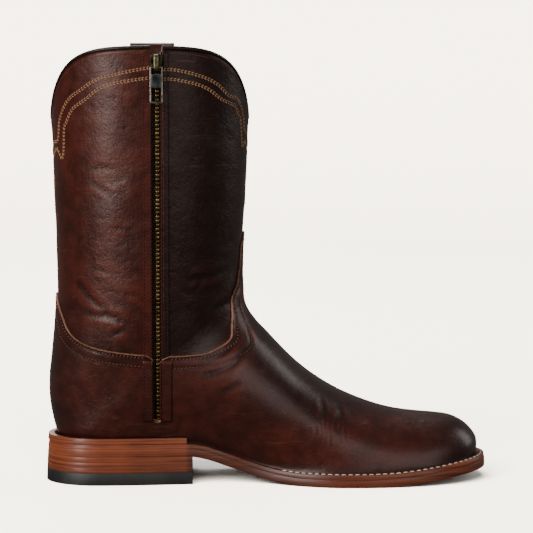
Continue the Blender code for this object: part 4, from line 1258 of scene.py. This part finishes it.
class BOOT_OT_foot(bpy.types.Operator):
    """Cuts vamp and counter, which lie as a second layer on the foot and up the ankle"""

    bl_idname = "boot.foot"
    bl_label = "Vamp and Counter"

    def execute(self, context):
        bm = pattern(FINE_STEP)
        cut(bm, from_seam, keep=-1)
        for below in (RAW_EDGE, STITCH_ROWS[0], STITCH_ROWS[0] + 0.001, STITCH_ROWS[1]):
            cut(bm, lambda points: from_seam(points) + below, reach=0.008)
        cut(bm, lambda points: from_slot(points, FOOT_SLOT_WIDTH), keep=1)

        def lay(points, seam):
            out = VAMP_STEP * (1 - 0.72 * np.clip(1 + seam / RAW_EDGE, 0, 1))
            for row in STITCH_ROWS:
                out -= 0.00028 * np.exp(-(((seam + row) / 0.0008) ** 2))
            # A short seam joins vamp and counter below the zip
            x, y, z = points.T
            join = np.hypot(x - JOIN_AT[0], np.maximum(z - JOIN_AT[1], 0))
            out -= 0.0006 * np.exp(-((join / 0.0012) ** 2)) * (y < 0) * (z < JOIN_AT[1] + 0.003)
            return out + creases(points) - side_seam(points)

        worn = wear(bm, lay)
        seam_of = dict(zip(bm.verts, worn[1]))
        for face in bm.faces:
            face.material_index = int(sum(seam_of[v] for v in face.verts) / len(face.verts) > -RAW_EDGE)
        upper_layer("vamp_and_counter", bm, worn)
        return {"FINISHED"}


class BOOT_OT_lining(bpy.types.Operator):
    """Lines shaft and foot with smooth pale leather"""

    bl_idname = "boot.lining"
    bl_label = "Lining"

    def execute(self, context):
        bm = pattern(2 * FINE_STEP)
        cut(bm, from_slot, keep=1)
        wear(bm, lambda points, seam: np.full(len(points), -LEATHER_THICKNESS - 0.0001))
        made = material_once("lining_leather", cut_leather, leather_settings().lining, 0.55)
        piece = put("lining", bm, made, made, node="upper")
        thicken(piece, LINING_THICKNESS, rim=0)
        return {"FINISHED"}


def disc(across):
    """A round sheet of even squares, as a start for the sole's outlines."""
    bm = sheet(across * 3, across)
    for v in bm.verts:
        x, y = v.co.x, v.co.y
        v.co.x, v.co.y = x * math.sqrt(1 - y * y / 2), y * math.sqrt(1 - x * x / 2)
    return bm


def circle(turn):
    """Points round a circle, from the heel's back."""
    return np.array((-np.cos(turn), -np.sin(turn))).T


def on_outline(points, edge, height):
    """Points of a round sheet moved to a sole outline: x and y in the round, height over the sole."""
    x = edge.back + (edge.tip - edge.back) * (1 + points[:, 0]) / 2
    sideways = points[:, 1] / np.sqrt(np.maximum(1 - points[:, 0] ** 2, 1e-6))
    y = sole_centre(x) + np.clip(sideways, -1, 1) * half_width(x, edge)
    return np.array((x, y, height(x))).T


def sole_piece(name, bm, made, end=None, rounded=0.0003, slot="edge_leather", node=None):
    """Finish a layer of the sole: cut off at a place along the boot if one is given, with rounded edges."""
    weld(bm)
    if end:
        everything = bm.verts[:] + bm.edges[:] + bm.faces[:]
        plane = {"plane_co": (end, 0, 0), "plane_no": (1, 0, 0)}
        bmesh.ops.bisect_plane(bm, geom=everything, dist=WELD, clear_outer=True, **plane)
        bmesh.ops.holes_fill(bm, edges=[e for e in bm.edges if e.is_boundary], sides=0)
    bmesh.ops.recalc_face_normals(bm, faces=bm.faces)
    round_edges(bm, rounded, 0.9)
    put(name, bm, made, node=node, slot=slot, sharp=50.0)


def sole_layer(low, high, across):
    """A layer of the sole between two outlines, each given with its height."""
    bm = disc(across)
    raised = set(raise_sheet(bm))
    flat = read(bm)
    for v, below, above in zip(bm.verts, on_outline(flat, *low), on_outline(flat, *high)):
        v.co = above if v in raised else below
    return bm


def ring(low, high, inner_low, inner_high):
    """A welt or rand: a band between outer and inner outlines, each given with its height."""
    bm = sheet(260, 5)
    raised = set(raise_sheet(bm))
    flat = read(bm)
    around = circle(np.pi * flat[:, 0])
    lower = on_outline(around, *low), on_outline(around, *inner_low)
    upper = on_outline(around, *high), on_outline(around, *inner_high)
    for i, v in enumerate(bm.verts):
        out, within = upper if v in raised else lower
        v.co = Vector(within[i]).lerp(Vector(out[i]), (flat[i, 1] + 1) / 2)
    return bm


def over_sole(height):
    return lambda x: sole_bottom(x) + height


def level(height):
    return lambda x: np.full(np.shape(x), float(height))


class BOOT_OT_sole(bpy.types.Operator):
    """Makes outsole, welt and the rand round the heel seat"""

    bl_idname = "boot.sole"
    bl_label = "Sole and Welt"

    def execute(self, context):
        stained = sole_leather()
        low = inset(SOLE_EDGE, 0.0003), over_sole(0.0)
        high = inset(SOLE_EDGE, EDGE_SLANT * 0.6), over_sole(OUTSOLE_THICKNESS + 0.00018)
        sole_piece("leather_outsole", sole_layer(low, high, 60), stained, node="outsole")

        low = inset(SOLE_EDGE, EDGE_SLANT * 0.7), over_sole(WELT_BOTTOM - 0.00006)
        high = inset(SOLE_EDGE, EDGE_SLANT * 1.5), over_sole(WELT_TOP)
        inner = inset(SOLE_EDGE, WELT_INNER_MARGIN)
        welt = ring(low, high, (inner, over_sole(WELT_BOTTOM)), (inner, over_sole(WELT_TOP)))
        sole_piece("stitched_welt", welt, stained, node="welt")

        low = inset(SOLE_EDGE, GAP), over_sole(SEAT - 0.0003)
        high = inset(SOLE_EDGE, 0.0007), over_sole(SEAT + RAND_THICKNESS)
        inner = inset(FEATHER, -VAMP_STEP - 4 * GAP)
        upper = inner._replace(back=inner.back - 5 * GAP, heel=inner.heel + 3 * GAP)
        rand = ring(low, high, (inner, over_sole(SEAT)), (upper, over_sole(SEAT + RAND_THICKNESS)))
        sole_piece("heel_rand_leather", rand, stained, end=HEEL_LENGTH - 0.004, node="heel_rand")
        return {"FINISHED"}


class BOOT_OT_heel(bpy.types.Operator):
    """Stacks the leather lifts of the heel on their rubber top piece"""

    bl_idname = "boot.heel"
    bl_label = "Heel"

    def execute(self, context):
        rubber = material_once("black_heel_rubber", moulded_rubber, sole_settings().rubber)
        layers = [("rubber_top_piece", "heel_top_piece", TOP_PIECE_THICKNESS, rubber, 0.0006, None)]
        for i in range(1, LIFT_COUNT + 1):
            lift = LIFT_THICKNESS, sole_leather(), 0.00012, "stacked_leather"
            layers.append((f"leather_lift_{i}", f"heel_lift_{i}", *lift))
        edge, low = inset(SOLE_EDGE, -EDGE_SLANT), 0.0
        for i, (name, node, thickness, made, rounded, slot) in enumerate(layers):
            high = low + thickness
            top = over_sole(-0.00004) if i == LIFT_COUNT else level(high + GAP - 0.00004)
            below, above = inset(edge, low * HEEL_TAPER), inset(edge, high * HEEL_TAPER)
            bm = sole_layer((below, level(low)), (above, top), 26)
            sole_piece(name, bm, made, HEEL_LENGTH, rounded, slot, node)
            low = high + GAP
        bed = material_once("insole_leather", cut_leather, leather_settings().lining, 0.6)
        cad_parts["insole"].data.materials.clear()
        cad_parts["insole"].data.materials.append(bed)
        return {"FINISHED"}


class BOOT_OT_welt_stitches(bpy.types.Operator):
    """Sews the pale stitches round the welt"""

    bl_idname = "boot.welt_stitches"
    bl_label = "Welt Stitches"

    def execute(self, context):
        settings = sole_settings()
        turn = np.linspace(0, 2 * np.pi, 2000)
        line = on_outline(circle(turn), inset(SOLE_EDGE, 0.0031), over_sole(WELT_TOP + STITCH_LIFT))
        line = even_points(line[line[:, 0] > settings.start], settings.pitch)
        up = Vector((0, 0, 1))
        places = []
        for i, point in enumerate(line):
            run = Vector(line[min(i + 1, len(line) - 1)] - line[max(i - 1, 0)])
            places.append(frame_at(Vector(point), up, run, 0.08))
        made = material_once("welt_thread", sewing_thread, settings.thread)
        sewn("welt_stitches", [places], made, settings.pitch * 0.74, 0.0013, 0.0011)
        return {"FINISHED"}


class BOOT_OT_upper_stitches(bpy.types.Operator):
    """Sews vamp and counter to the shaft with two dark rows, and the side seam on the outer side"""

    bl_idname = "boot.upper_stitches"
    bl_label = "Vamp Stitches"

    def execute(self, context):
        pitch = leather_settings().stitch
        trees = tree_of("vamp_and_counter")
        rows, lower = [], []
        for side in (-1, 1):
            for kept, below, low, high, twist in (
                (rows, STITCH_ROWS[0], 2, 180, 1.15),
                (lower, STITCH_ROWS[1], 14, 172, 0.15),
            ):
                # The inner side's rows stop on either side of the zip
                spans = ((low, ZIP_ANGLE - 10.5), (ZIP_ANGLE + 10.5, high)) if side < 0 else ((low, high),)
                for span in spans:
                    kept.append(stitch_row(trees, seam_row(side, below, *span), pitch, twist))
        seam = float(seam_height(ZIP_ANGLE, 1))
        for x in (SIDE_SEAM - 0.0023, SIDE_SEAM - 0.0045):
            for on, low, high in (("vamp_and_counter", 0.036, seam - 0.010), ("shaft", seam + 0.003, 0.225)):
                rows.append(stitch_row(tree_of(on), upright(x, low, high, 1), pitch))
        sewn("vamp_stitches", rows, rust_thread(), pitch * 0.85, 0.0010, 0.0008)
        sewn("lower_vamp_stitches", lower, rust_thread(), pitch * 0.72, 0.0008, 0.0007)
        return {"FINISHED"}


def thread_path(trees, row, end, side):
    """A decorative row on one side, from the zip or strap to the middle of the front or back, as one path."""
    path = from_side([(x / 1000, z / 1000) for x, z in row.side], side) + from_end(row.end, end, side)
    met = [touch(trees, Vector(p[:3]), Vector(p[3:])) for p in path]
    smooth = curve_through(np.array([(*place, *out) for place, out in met]), 200)
    return [(*(p[:3] + p[3:] * 0.01), *(-p[3:])) for p in smooth]


class BOOT_OT_collar_stitches(bpy.types.Operator):
    """Sews the two tan double rows below the collar, with their points and lozenges front and back"""

    bl_idname = "boot.collar_stitches"
    bl_label = "Collar Stitches"

    def execute(self, context):
        pitch = leather_settings().stitch
        trees = tree_of("shaft", "facing_rear", "facing_front")
        rows = []
        for end, table, lowered in ((1, FRONT_ROWS, 0.0), (-1, BACK_ROWS, BACK_LOWERING)):
            for row, side in itertools.product(table, (-1, 1)):
                path = thread_path(trees, row, end, side)
                for sideways, twist in ((-0.00065, 0.34), (0.00065, -0.34)):
                    rows.append(stitch_row(trees, path, pitch, twist * side * end, sideways))
            for lozenge, side in itertools.product(LOZENGES, (-1, 1)):
                rows.append(stitch_row(trees, from_end(lozenge, end, side, lowered), pitch * 0.85))
        sewn("collar_stitches", rows, tan_thread(), pitch * 0.80, 0.00085, 0.00065)
        return {"FINISHED"}


def band(name, trees, left, right, low, high, lift, tone, clear, across=10):
    """A raised band of leather on the inner side, from x left to right and z low to high."""
    bm = sheet(across, max(4, int((high - low) / 0.002)))
    thick = min(0.0009, (right - left) * 0.3)
    for v in bm.verts:
        x = left + (right - left) * (v.co.x + 1) / 2
        z = low + (high - low) * (v.co.y + 1) / 2
        held = x
        if abs(x - ZIP_LINE) < clear:
            held = ZIP_LINE + math.copysign(clear, x - ZIP_LINE)
        place, out = side_point(trees, x, z, -1, held)
        edge = min(x - left, right - x)
        form = 1 - (1 - min(max(edge / thick, 0.0), 1.0)) ** 2
        v.co = place + out * (lift * form - 0.0002)
    turn_out(bm)
    look_to(bm, -1)
    tone_of(bm, [tone] * len(bm.verts))
    thicken(put(name, bm, upper_leather(), edge_of_leather(), slot="boot_leather"), 0.0006)


class BOOT_OT_facings(bpy.types.Operator):
    """Lays the leather bands on either side of the zip and sews them down"""

    bl_idname = "boot.facings"
    bl_label = "Zip Facings"

    def execute(self, context):
        seam = float(seam_height(ZIP_ANGLE, -1))
        top = BOOT_HEIGHT - 0.0016
        ends = seam - 0.001, top
        foot_ends = ZIP_BOTTOM + 0.0003, seam + 0.0004
        pitch = leather_settings().stitch
        rows = []
        # Name, left and right edge, lower and upper end, height and tone, places of the stitches
        for on, slot, sewn_from, sewn_to, bands in (
            (
                "shaft",
                SLOT_WIDTH,
                seam + 0.003,
                top - 0.002,
                (
                    # The rear band's raised tone is a painted highlight; the front band's low tone is partly
                    # a darker-dyed front and partly painted shade, as on the shaft's front
                    ("facing_rear", 0.0664, 0.0736, *ends, 0.0010, 1.15, (0.0679, 0.0724)),
                    ("facing_front", 0.0800, 0.0850, *ends, 0.0010, 0.36, (0.0813, 0.0838)),
                    ("facing_edge", 0.0792, 0.0802, seam + 0.001, top, 0.0011, 3.2, ()),
                ),
            ),
            (
                "vamp_and_counter",
                FOOT_SLOT_WIDTH,
                ZIP_BOTTOM + 0.002,
                seam - 0.004,
                (
                    ("facing_foot_rear", 0.0662, 0.0738, *foot_ends, 0.0009, 0.95, (0.0676, 0.0724)),
                    ("facing_foot_front", 0.0786, 0.0868, *foot_ends, 0.0009, 0.9, (0.0800, 0.0855)),
                    ("facing_foot_edge", 0.0780, 0.0789, ZIP_BOTTOM + 0.0020, seam, 0.0010, 3.0, ()),
                ),
            ),
        ):
            trees, clear = tree_of(on), slot / 2 + 0.0004
            for name, left, right, low, high, lift, tone, sewn_at in bands:
                across = 10 if sewn_at else 4
                band(name, trees, left, right, low, high, lift, tone, clear, across)
                for x in sewn_at:
                    rows.append(stitch_row(tree_of(name), upright(x, sewn_from, sewn_to, -1), pitch))
        thread = material_once("dark_thread", sewing_thread, leather_settings().dark_thread)
        sewn("facing_stitches", rows, thread, pitch * 0.7, 0.0007, 0.0005)
        return {"FINISHED"}


class BOOT_OT_zip(bpy.types.Operator):
    """Sets the zip's cloth tape behind the slot and its brass teeth on it"""

    bl_idname = "boot.zip"
    bl_label = "Zip Tape and Teeth"

    def execute(self, context):
        settings = zip_settings()
        last = smooth_last()
        behind = -SHAFT_WALL - 2.4 * GAP
        bm = sheet(16, 110)
        low, high = ZIP_BOTTOM - TAPE_WIDTH / 4, BOOT_HEIGHT - 10 * GAP
        for v in bm.verts:
            x, z = ZIP_LINE + v.co.x * TAPE_WIDTH / 2, low + (high - low) * (v.co.y + 1) / 2
            place, out = side_point(last, x, z, -1)
            v.co = place + out * behind
        look_to(bm, -1)
        cloth = material_once("knitted_zip_tape", woven_tape, settings.tape)
        thicken(put("zip_tape_cloth", bm, cloth, cloth, node="zip_tape"), TAPE_THICKNESS, rim=0)

        # The near side's teeth catch the light; the far side's lie between them and a little deeper, in a
        # copy of the brass painted darker as shade
        base = behind + 2 * GAP + CHAIN_THICKNESS / 2
        shaded = mixed(settings.brass, (0.006, 0.004, 0.003), 0.8)
        for name, metal, side, size, sunk, shade in (
            ("zip_teeth_near", "aged_brass", 1, (0.0024, 0.0015, 0.0015), 0.0, settings.brass),
            ("zip_teeth_far", "shaded_brass", -1, (0.0030, 0.0012, 0.0013), 0.0006, shaded),
        ):
            places = []
            z = ZIP_BOTTOM + 0.0015 + (0.0 if side > 0 else TOOTH_PITCH / 2)
            while z < BOOT_HEIGHT - SLIDER_DROP + 0.004:
                place, out = side_point(last, ZIP_LINE, z, -1)
                spot = frame_at(place + out * (base - sunk), out, Vector((1, 0, 0)))
                places.append(spot @ Matrix.Translation((side * 0.0006, 0, 0)))
                z += TOOTH_PITCH
            teeth = repeat(mesh_of("one tooth", block(size, (0, 0, 0), 0.00045)), places)
            made = material_once(metal, aged_metal, shade, mixed(shade, (0.01, 0.006, 0.003), 0.8))
            put(name, teeth, made, node="zip_teeth", sharp=30.0)
        return {"FINISHED"}


def plate_of(rows, thickness, rounded):
    """A flat plate from rows of (z, half width), with rounded edges. Its face looks along -y."""
    bm = sheet(4, len(rows) - 1)
    for v in bm.verts:
        z, half = rows[round((v.co.y + 1) / 2 * (len(rows) - 1))]
        v.co = (v.co.x * half, 0.0, z)
    raise_sheet(bm, (0, -thickness, 0))
    bmesh.ops.recalc_face_normals(bm, faces=bm.faces)
    round_edges(bm, rounded)
    return bm


def bridge_of(length, half, low, high):
    """The arch on the slider that holds the pull: half its length and width, its lowest and highest face."""
    bm = sheet(6, 24)
    for v in bm.verts:
        turn = v.co.y * math.pi / 2
        z = math.copysign(abs(math.sin(turn)) ** 0.8, turn) * length
        rise = max(math.cos(turn), 0.0) ** 0.42 * (1 - 0.10 * v.co.x**2)
        v.co = (v.co.x * half * (1 - 0.12 * v.co.y**2), -(low + (high - low) * rise), z)
    bmesh.ops.recalc_face_normals(bm, faces=bm.faces)
    look_to(bm, -1)
    bmesh.ops.solidify(bm, geom=bm.faces[:], thickness=0.0009)
    bmesh.ops.recalc_face_normals(bm, faces=bm.faces)
    round_edges(bm, 0.0002)
    return bm


def pull_of(columns, rows):
    """The pull's frame, a flat grid with two windows, from its columns' x and its rows' z."""
    bm = sheet(3, 5)
    for v in bm.verts:
        v.co = (columns[round((v.co.x + 1) * 1.5)], 0.0, rows[round((v.co.y + 1) * 2.5)])
    windows = []
    for face in bm.faces:
        middle = face.calc_center_median()
        open_row = rows[1] < middle.z < rows[2] or rows[3] < middle.z < rows[4]
        if open_row and columns[1] < middle.x < columns[2]:
            windows.append(face)
    bmesh.ops.delete(bm, geom=windows, context="FACES")
    raise_sheet(bm, (0, -PULL_THICKNESS, 0))
    bmesh.ops.recalc_face_normals(bm, faces=bm.faces)
    round_edges(bm, 0.00032)
    return bm


class BOOT_OT_slider(bpy.types.Operator):
    """Makes the zip's slider and the pull that hangs from it"""

    bl_idname = "boot.slider"
    bl_label = "Slider and Pull"

    def execute(self, context):
        settings = zip_settings()
        plating, nickel = settings.slider, settings.nickel
        seat = Vector((ZIP_LINE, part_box("zip_slider")[0].y + 0.0057, BOOT_HEIGHT - SLIDER_DROP))

        outline = ((-1.0, 0.66), (-0.45, 0.78), (0.0, 0.94), (0.55, 1.0), (0.86, 0.92), (1.0, 0.66))
        outline = [(z * SLIDER_LENGTH / 2, share * SLIDER_WIDTH / 2) for z, share in outline]
        body = plate_of(outline, 0.0014, 0.00035)
        move(body, (0, -0.0013, 0))
        neck = block((0.0048, 0.0022, SLIDER_LENGTH - 0.002), (0, -0.0009, 0), 0.0003)
        whole = joined((body, neck))
        move(whole, seat)
        # The body is a copy of the plating painted dark as shade; the bridge keeps the plating's colour
        shadow = (0.01, 0.008, 0.006)
        dark = material_once("dark_slider_plating", aged_metal, mixed(plating, shadow, 0.75), shadow, 0.42)
        put("slider_body", whole, dark, node="zip_slider", sharp=30.0)

        bridge = bridge_of(0.0056, 0.0017, 0.0022, 0.0057)
        move(bridge, seat)
        hollow = mixed(plating, (0.02, 0.016, 0.008), 0.7)
        old = material_once("worn_slider_plating", aged_metal, plating, hollow)
        put("slider_bridge", bridge, old, node="zip_slider")

        # Heights from the middle of the bridge: the bar that hangs in it, the windows and the plate between
        bar, half, rail = -0.0031, PULL_WIDTH / 2, 0.0010
        top = bar + PULL_THICKNESS / 2
        low = top - PULL_LENGTH
        rows = (low, low + 0.0013, bar - 0.0134, bar - 0.0044, top - rail, top)
        pull = pull_of((-half, rail - half, half - rail, half), rows)
        move(pull, seat + Vector((0, PULL_THICKNESS / 2 - PULL_HEIGHT, 0)))
        metal = material_once("dark_nickel", aged_metal, nickel, mixed(nickel, (0.02, 0.02, 0.02), 0.7), 0.3)
        put("pull_frame", pull, metal, body="zip_pull", node="zip_pull", sharp=30.0)
        outline = ((0.0131, 0.0031), (0.0129, 0.0032), (0.0049, 0.0032), (0.0047, 0.0031))
        plate = plate_of([(bar - below, wide) for below, wide in outline], 0.0003, 0.0001)
        move(plate, seat + Vector((0, 0.0001 - PULL_HEIGHT - PULL_THICKNESS / 2, 0)))
        inlay = material_once("blackened_steel", aged_metal, linear("#4a4d50"), linear("#1c1e20"), 0.40)
        put("pull_plate", plate, inlay, body="zip_pull", sharp=30.0)
        return {"FINISHED"}


def unit(rows):
    return rows / np.linalg.norm(rows, axis=1)[:, None]


class BOOT_OT_collar(bpy.types.Operator):
    """Binds the collar with a dark bead and sews a fine row of thread below it"""

    bl_idname = "boot.collar"
    bl_label = "Collar Binding"

    def execute(self, context):
        back, front = leg_end(BACK_LINE, BOOT_HEIGHT), leg_end(FRONT_LINE, BOOT_HEIGHT)
        reach = SLOT_WIDTH / 2 + GAP
        first, last = (
            float(np.degrees(np.arccos(1 - 2 * (x - back) / (front - back))))
            for x in (ZIP_LINE + reach, ZIP_LINE - reach)
        )
        turns = [(a, -1) for a in np.linspace(first, 180, 60)]
        turns += [(a, 1) for a in np.linspace(178.5, 0, 120)]
        turns += [(a, -1) for a in np.linspace(1.5, last, 60)]
        angle, side = np.array(turns).T
        rim = upper_point(np.full(len(angle), RIM), angle, side).T
        lower = upper_point(np.full(len(angle), RIM - 0.2), angle, side).T
        run = unit(np.gradient(rim, axis=0))
        out = unit(np.array((run[:, 1], -run[:, 0], 0 * run[:, 0])).T)
        out *= np.sign((out * (rim - (AXIS, 0, 0))).sum(1))[:, None]
        rise = unit(np.array((0, 0, 1)) - run * run[:, 2:])
        middle = rim - out * SHAFT_WALL / 2 + rise * (BEAD_RADIUS + 0.5 * GAP)
        bm = sheet(len(angle) - 1, 16)
        for v in bm.verts:
            i = round((v.co.x + 1) / 2 * (len(angle) - 1))
            t = v.co.y * math.pi
            v.co = middle[i] + out[i] * math.cos(t) * 0.00165 + rise[i] * (math.sin(t) * 0.00148 - 0.0003)
        bmesh.ops.remove_doubles(bm, verts=bm.verts, dist=WELD)
        bmesh.ops.holes_fill(bm, edges=[e for e in bm.edges if e.is_boundary], sides=0)
        bmesh.ops.recalc_face_normals(bm, faces=bm.faces)
        bead = leather_settings().bead
        binding = material_once("black_binding_leather", oiled_leather, mixed(bead, BLACK, 0.5), bead)
        tone_of(bm, [1.0] * len(bm.verts))
        put("collar_binding", bm, binding, node="collar_bead")

        # The row starts and ends beside the zip's facings
        line = rim + unit(lower - rim) * 0.0026
        path = [(*(p + o * 0.02), *(-o)) for p, o in zip(line, out)][2:-2]
        path = [p for p in path if abs(p[0] - ZIP_LINE) > 0.0098 or p[1] > 0]
        row = stitch_row(tree_of("shaft"), path, 0.0021)
        sewn("collar_thread", [row], rust_thread(), 0.0015, 0.0006, 0.0005)
        return {"FINISHED"}


class BOOT_OT_strap(bpy.types.Operator):
    """Folds the pull strap over the collar on the outer side and sews its end down"""

    bl_idname = "boot.strap"
    bl_label = "Pull Strap"

    def execute(self, context):
        last = smooth_last()
        top, stand = BOOT_HEIGHT + STRAP_RISE * STRAP_SHOWN, STRAP_STANDOFF + SHAFT_WALL / 2
        path = [(top - down * STRAP_LENGTH, out * stand - SHAFT_WALL / 2) for down, out in STRAP_PATH]
        smooth = even_points(curve_through(np.array(path), 400), 0.0015)
        bm = sheet(16, len(smooth) - 1)
        for v in bm.verts:
            z, out_by = smooth[round((v.co.y + 1) / 2 * (len(smooth) - 1))]
            x = STRAP_CENTRE + v.co.x * (STRAP_WIDTH / 2 - 0.0002)
            place, _ = side_point(last, x, min(z, BOOT_HEIGHT - STRAP_RISE), 1)
            v.co = (x, place.y + out_by, z)
        bmesh.ops.recalc_face_normals(bm, faces=bm.faces)
        tone_of(bm, [0.95] * len(bm.verts))
        slot, node = "strap_leather", "pull_strap"
        piece = put("pull_strap_leather", bm, upper_leather(), edge_of_leather(), node=node, slot=slot)
        thicken(piece, STRAP_THICKNESS * 0.96, offset=0.0)
        softened = piece.modifiers.new("Rounded edge", "BEVEL")
        softened.width = 0.0004
        softened.segments = 2
        softened.limit_method = "ANGLE"
        softened.angle_limit = math.radians(60)

        trees = tree_of("pull_strap_leather")
        foot = BOOT_HEIGHT + STRAP_RISE - STRAP_LENGTH
        left, right = (STRAP_CENTRE + end * (STRAP_WIDTH / 2 - STRAP_ROW) for end in (-1, 1))
        up, across = np.linspace(foot + STRAP_ROW, BOOT_HEIGHT - 0.004, 40), np.linspace(left, right, 20)
        paths = [[(x, z) for z in up] for x in (left, right)]
        paths += [[(x, z) for x in across] for z in (foot + STRAP_ROW, foot + 0.018)]
        rows = [stitch_row(trees, from_side(path, 1), 0.0025) for path in paths]
        sewn("strap_stitches", rows, tan_thread(), 0.0019, 0.0008, 0.0006)
        return {"FINISHED"}


def placed(name, data, place=(0, 0, 0), toward=None):
    """A light or camera, turned to look along a direction."""
    made = bpy.data.objects.new(name, data)
    bpy.context.scene.collection.objects.link(made)
    made.location = place
    made.rotation_euler = toward.to_track_quat("-Z", "Y").to_euler()
    return made


class BOOT_OT_stage(bpy.types.Operator):
    """Sets the pale floor, the soft lights and the camera"""

    bl_idname = "boot.stage"
    bl_label = "Floor, Lights and Camera"

    def execute(self, context):
        stage = context.scene.boot_stage
        # Level paper up to 2 m behind the boot, then a bend of 1.5 m radius into a wall
        bm = sheet(40, 120)
        for v in bm.verts:
            run = (v.co.y + 1) / 2 * 9.0 - 3.0
            bend = min(max((run - 2.0) / 1.5, 0.0), math.pi / 2)
            z = 1.5 * (1 - math.cos(bend)) + max(run - 2.0 - 1.5 * math.pi / 2, 0.0)
            v.co = (v.co.x * 4.0, min(run, 2.0) + 1.5 * math.sin(bend), z)
        floor = shown("paper_floor", mesh_of("paper_floor", bm))
        floor.visible_glossy = False
        floor.visible_diffuse = False
        made, shader, _, _ = start_material("seamless_paper")
        fill(shader, {"Roughness": 0.9, "Base Color": (*stage.floor, 1)})
        floor.data.materials.append(made)

        world = bpy.data.worlds.new("Studio")
        context.scene.world = world
        world.use_nodes = True
        fill(world.node_tree.nodes["Background"], {0: (*linear("#f4f1ec"), 1), 1: stage.room})

        aim = Vector((0.0, 0.0, 0.150))
        for name, place, size, power in (
            ("Key", (-1.25, -1.25, 0.75), (0.55, 1.4), stage.key),
            ("Top", (-0.5, 0.9, 1.5), (1.2, 0.7), stage.top),
            ("Fill", (0.9, -1.9, 0.6), (1.2, 1.2), stage.fill),
            ("Rim", (1.6, 0.35, 0.9), (0.8, 1.3), stage.rim),
            ("Far side", (-0.6, 1.8, 0.9), (1.0, 1.2), stage.rim * 1.2),
        ):
            light = bpy.data.lights.new(name, "AREA")
            light.shape = "RECTANGLE"
            light.size, light.size_y = size
            light.energy = power
            placed(name, light, place, aim - Vector(place))
        # A very soft light that reaches the paper alone
        light = bpy.data.lights.new("Paper", "SUN")
        light.energy = stage.paper
        light.color = (1.0, 0.90, 0.77)
        light.angle = math.radians(60)
        lamp = placed("Paper", light, toward=Vector((0.35, 0.62, -0.80)))
        alone = bpy.data.collections.new("Lit paper")
        alone.objects.link(floor)
        lamp.light_linking.receiver_collection = alone

        camera = bpy.data.cameras.new("Camera")
        camera.lens = stage.focal
        camera.sensor_width = 36.0
        camera.clip_end = 50.0
        eye = Vector((-0.0738, -1.700, 0.300))
        context.scene.camera = placed("Camera", camera, eye, Vector((0.0, 0.0, 0.147)) - eye)
        return {"FINISHED"}


class BOOT_PT_boot(bpy.types.Panel):
    """Sizes, colours and steps of the boot"""

    bl_label = "Roper Boot"
    bl_idname = "BOOT_PT_boot"
    bl_space_type = "VIEW_3D"
    bl_region_type = "UI"
    bl_category = "Boot"

    def draw(self, context):
        layout = self.layout
        for group in GROUPS:
            box = layout.box()
            box.label(text=group.__doc__)
            settings = getattr(context.scene, GROUPS[group])
            for key in group.__annotations__:
                box.prop(settings, key)
        for step in STEPS:
            layout.operator(step.bl_idname)


GROUPS = {
    BootLeather: "boot_leather",
    BootSole: "boot_sole",
    BootZip: "boot_zip",
    BootStage: "boot_stage",
}
STEPS = (
    BOOT_OT_stage,
    BOOT_OT_shaft,
    BOOT_OT_foot,
    BOOT_OT_lining,
    BOOT_OT_sole,
    BOOT_OT_heel,
    BOOT_OT_welt_stitches,
    BOOT_OT_upper_stitches,
    BOOT_OT_facings,
    BOOT_OT_collar_stitches,
    BOOT_OT_zip,
    BOOT_OT_slider,
    BOOT_OT_collar,
    BOOT_OT_strap,
)


def register():
    for made in (*GROUPS, *STEPS, BOOT_PT_boot):
        bpy.utils.register_class(made)
    for group, name in GROUPS.items():
        setattr(bpy.types.Scene, name, PointerProperty(type=group))


def unregister():
    for name in GROUPS.values():
        delattr(bpy.types.Scene, name)
    for made in (BOOT_PT_boot, *reversed(STEPS), *reversed(GROUPS)):
        bpy.utils.unregister_class(made)


def main():
    register()
    bpy.ops.boot.stage()
    bpy.ops.boot.shaft()
    bpy.ops.boot.foot()
    bpy.ops.boot.lining()
    bpy.ops.boot.sole()
    bpy.ops.boot.heel()
    bpy.ops.boot.welt_stitches()
    bpy.ops.boot.upper_stitches()
    bpy.ops.boot.facings()
    bpy.ops.boot.collar_stitches()
    bpy.ops.boot.zip()
    bpy.ops.boot.slider()
    bpy.ops.boot.collar()
    bpy.ops.boot.strap()


if __name__ == "__main__":
    main()
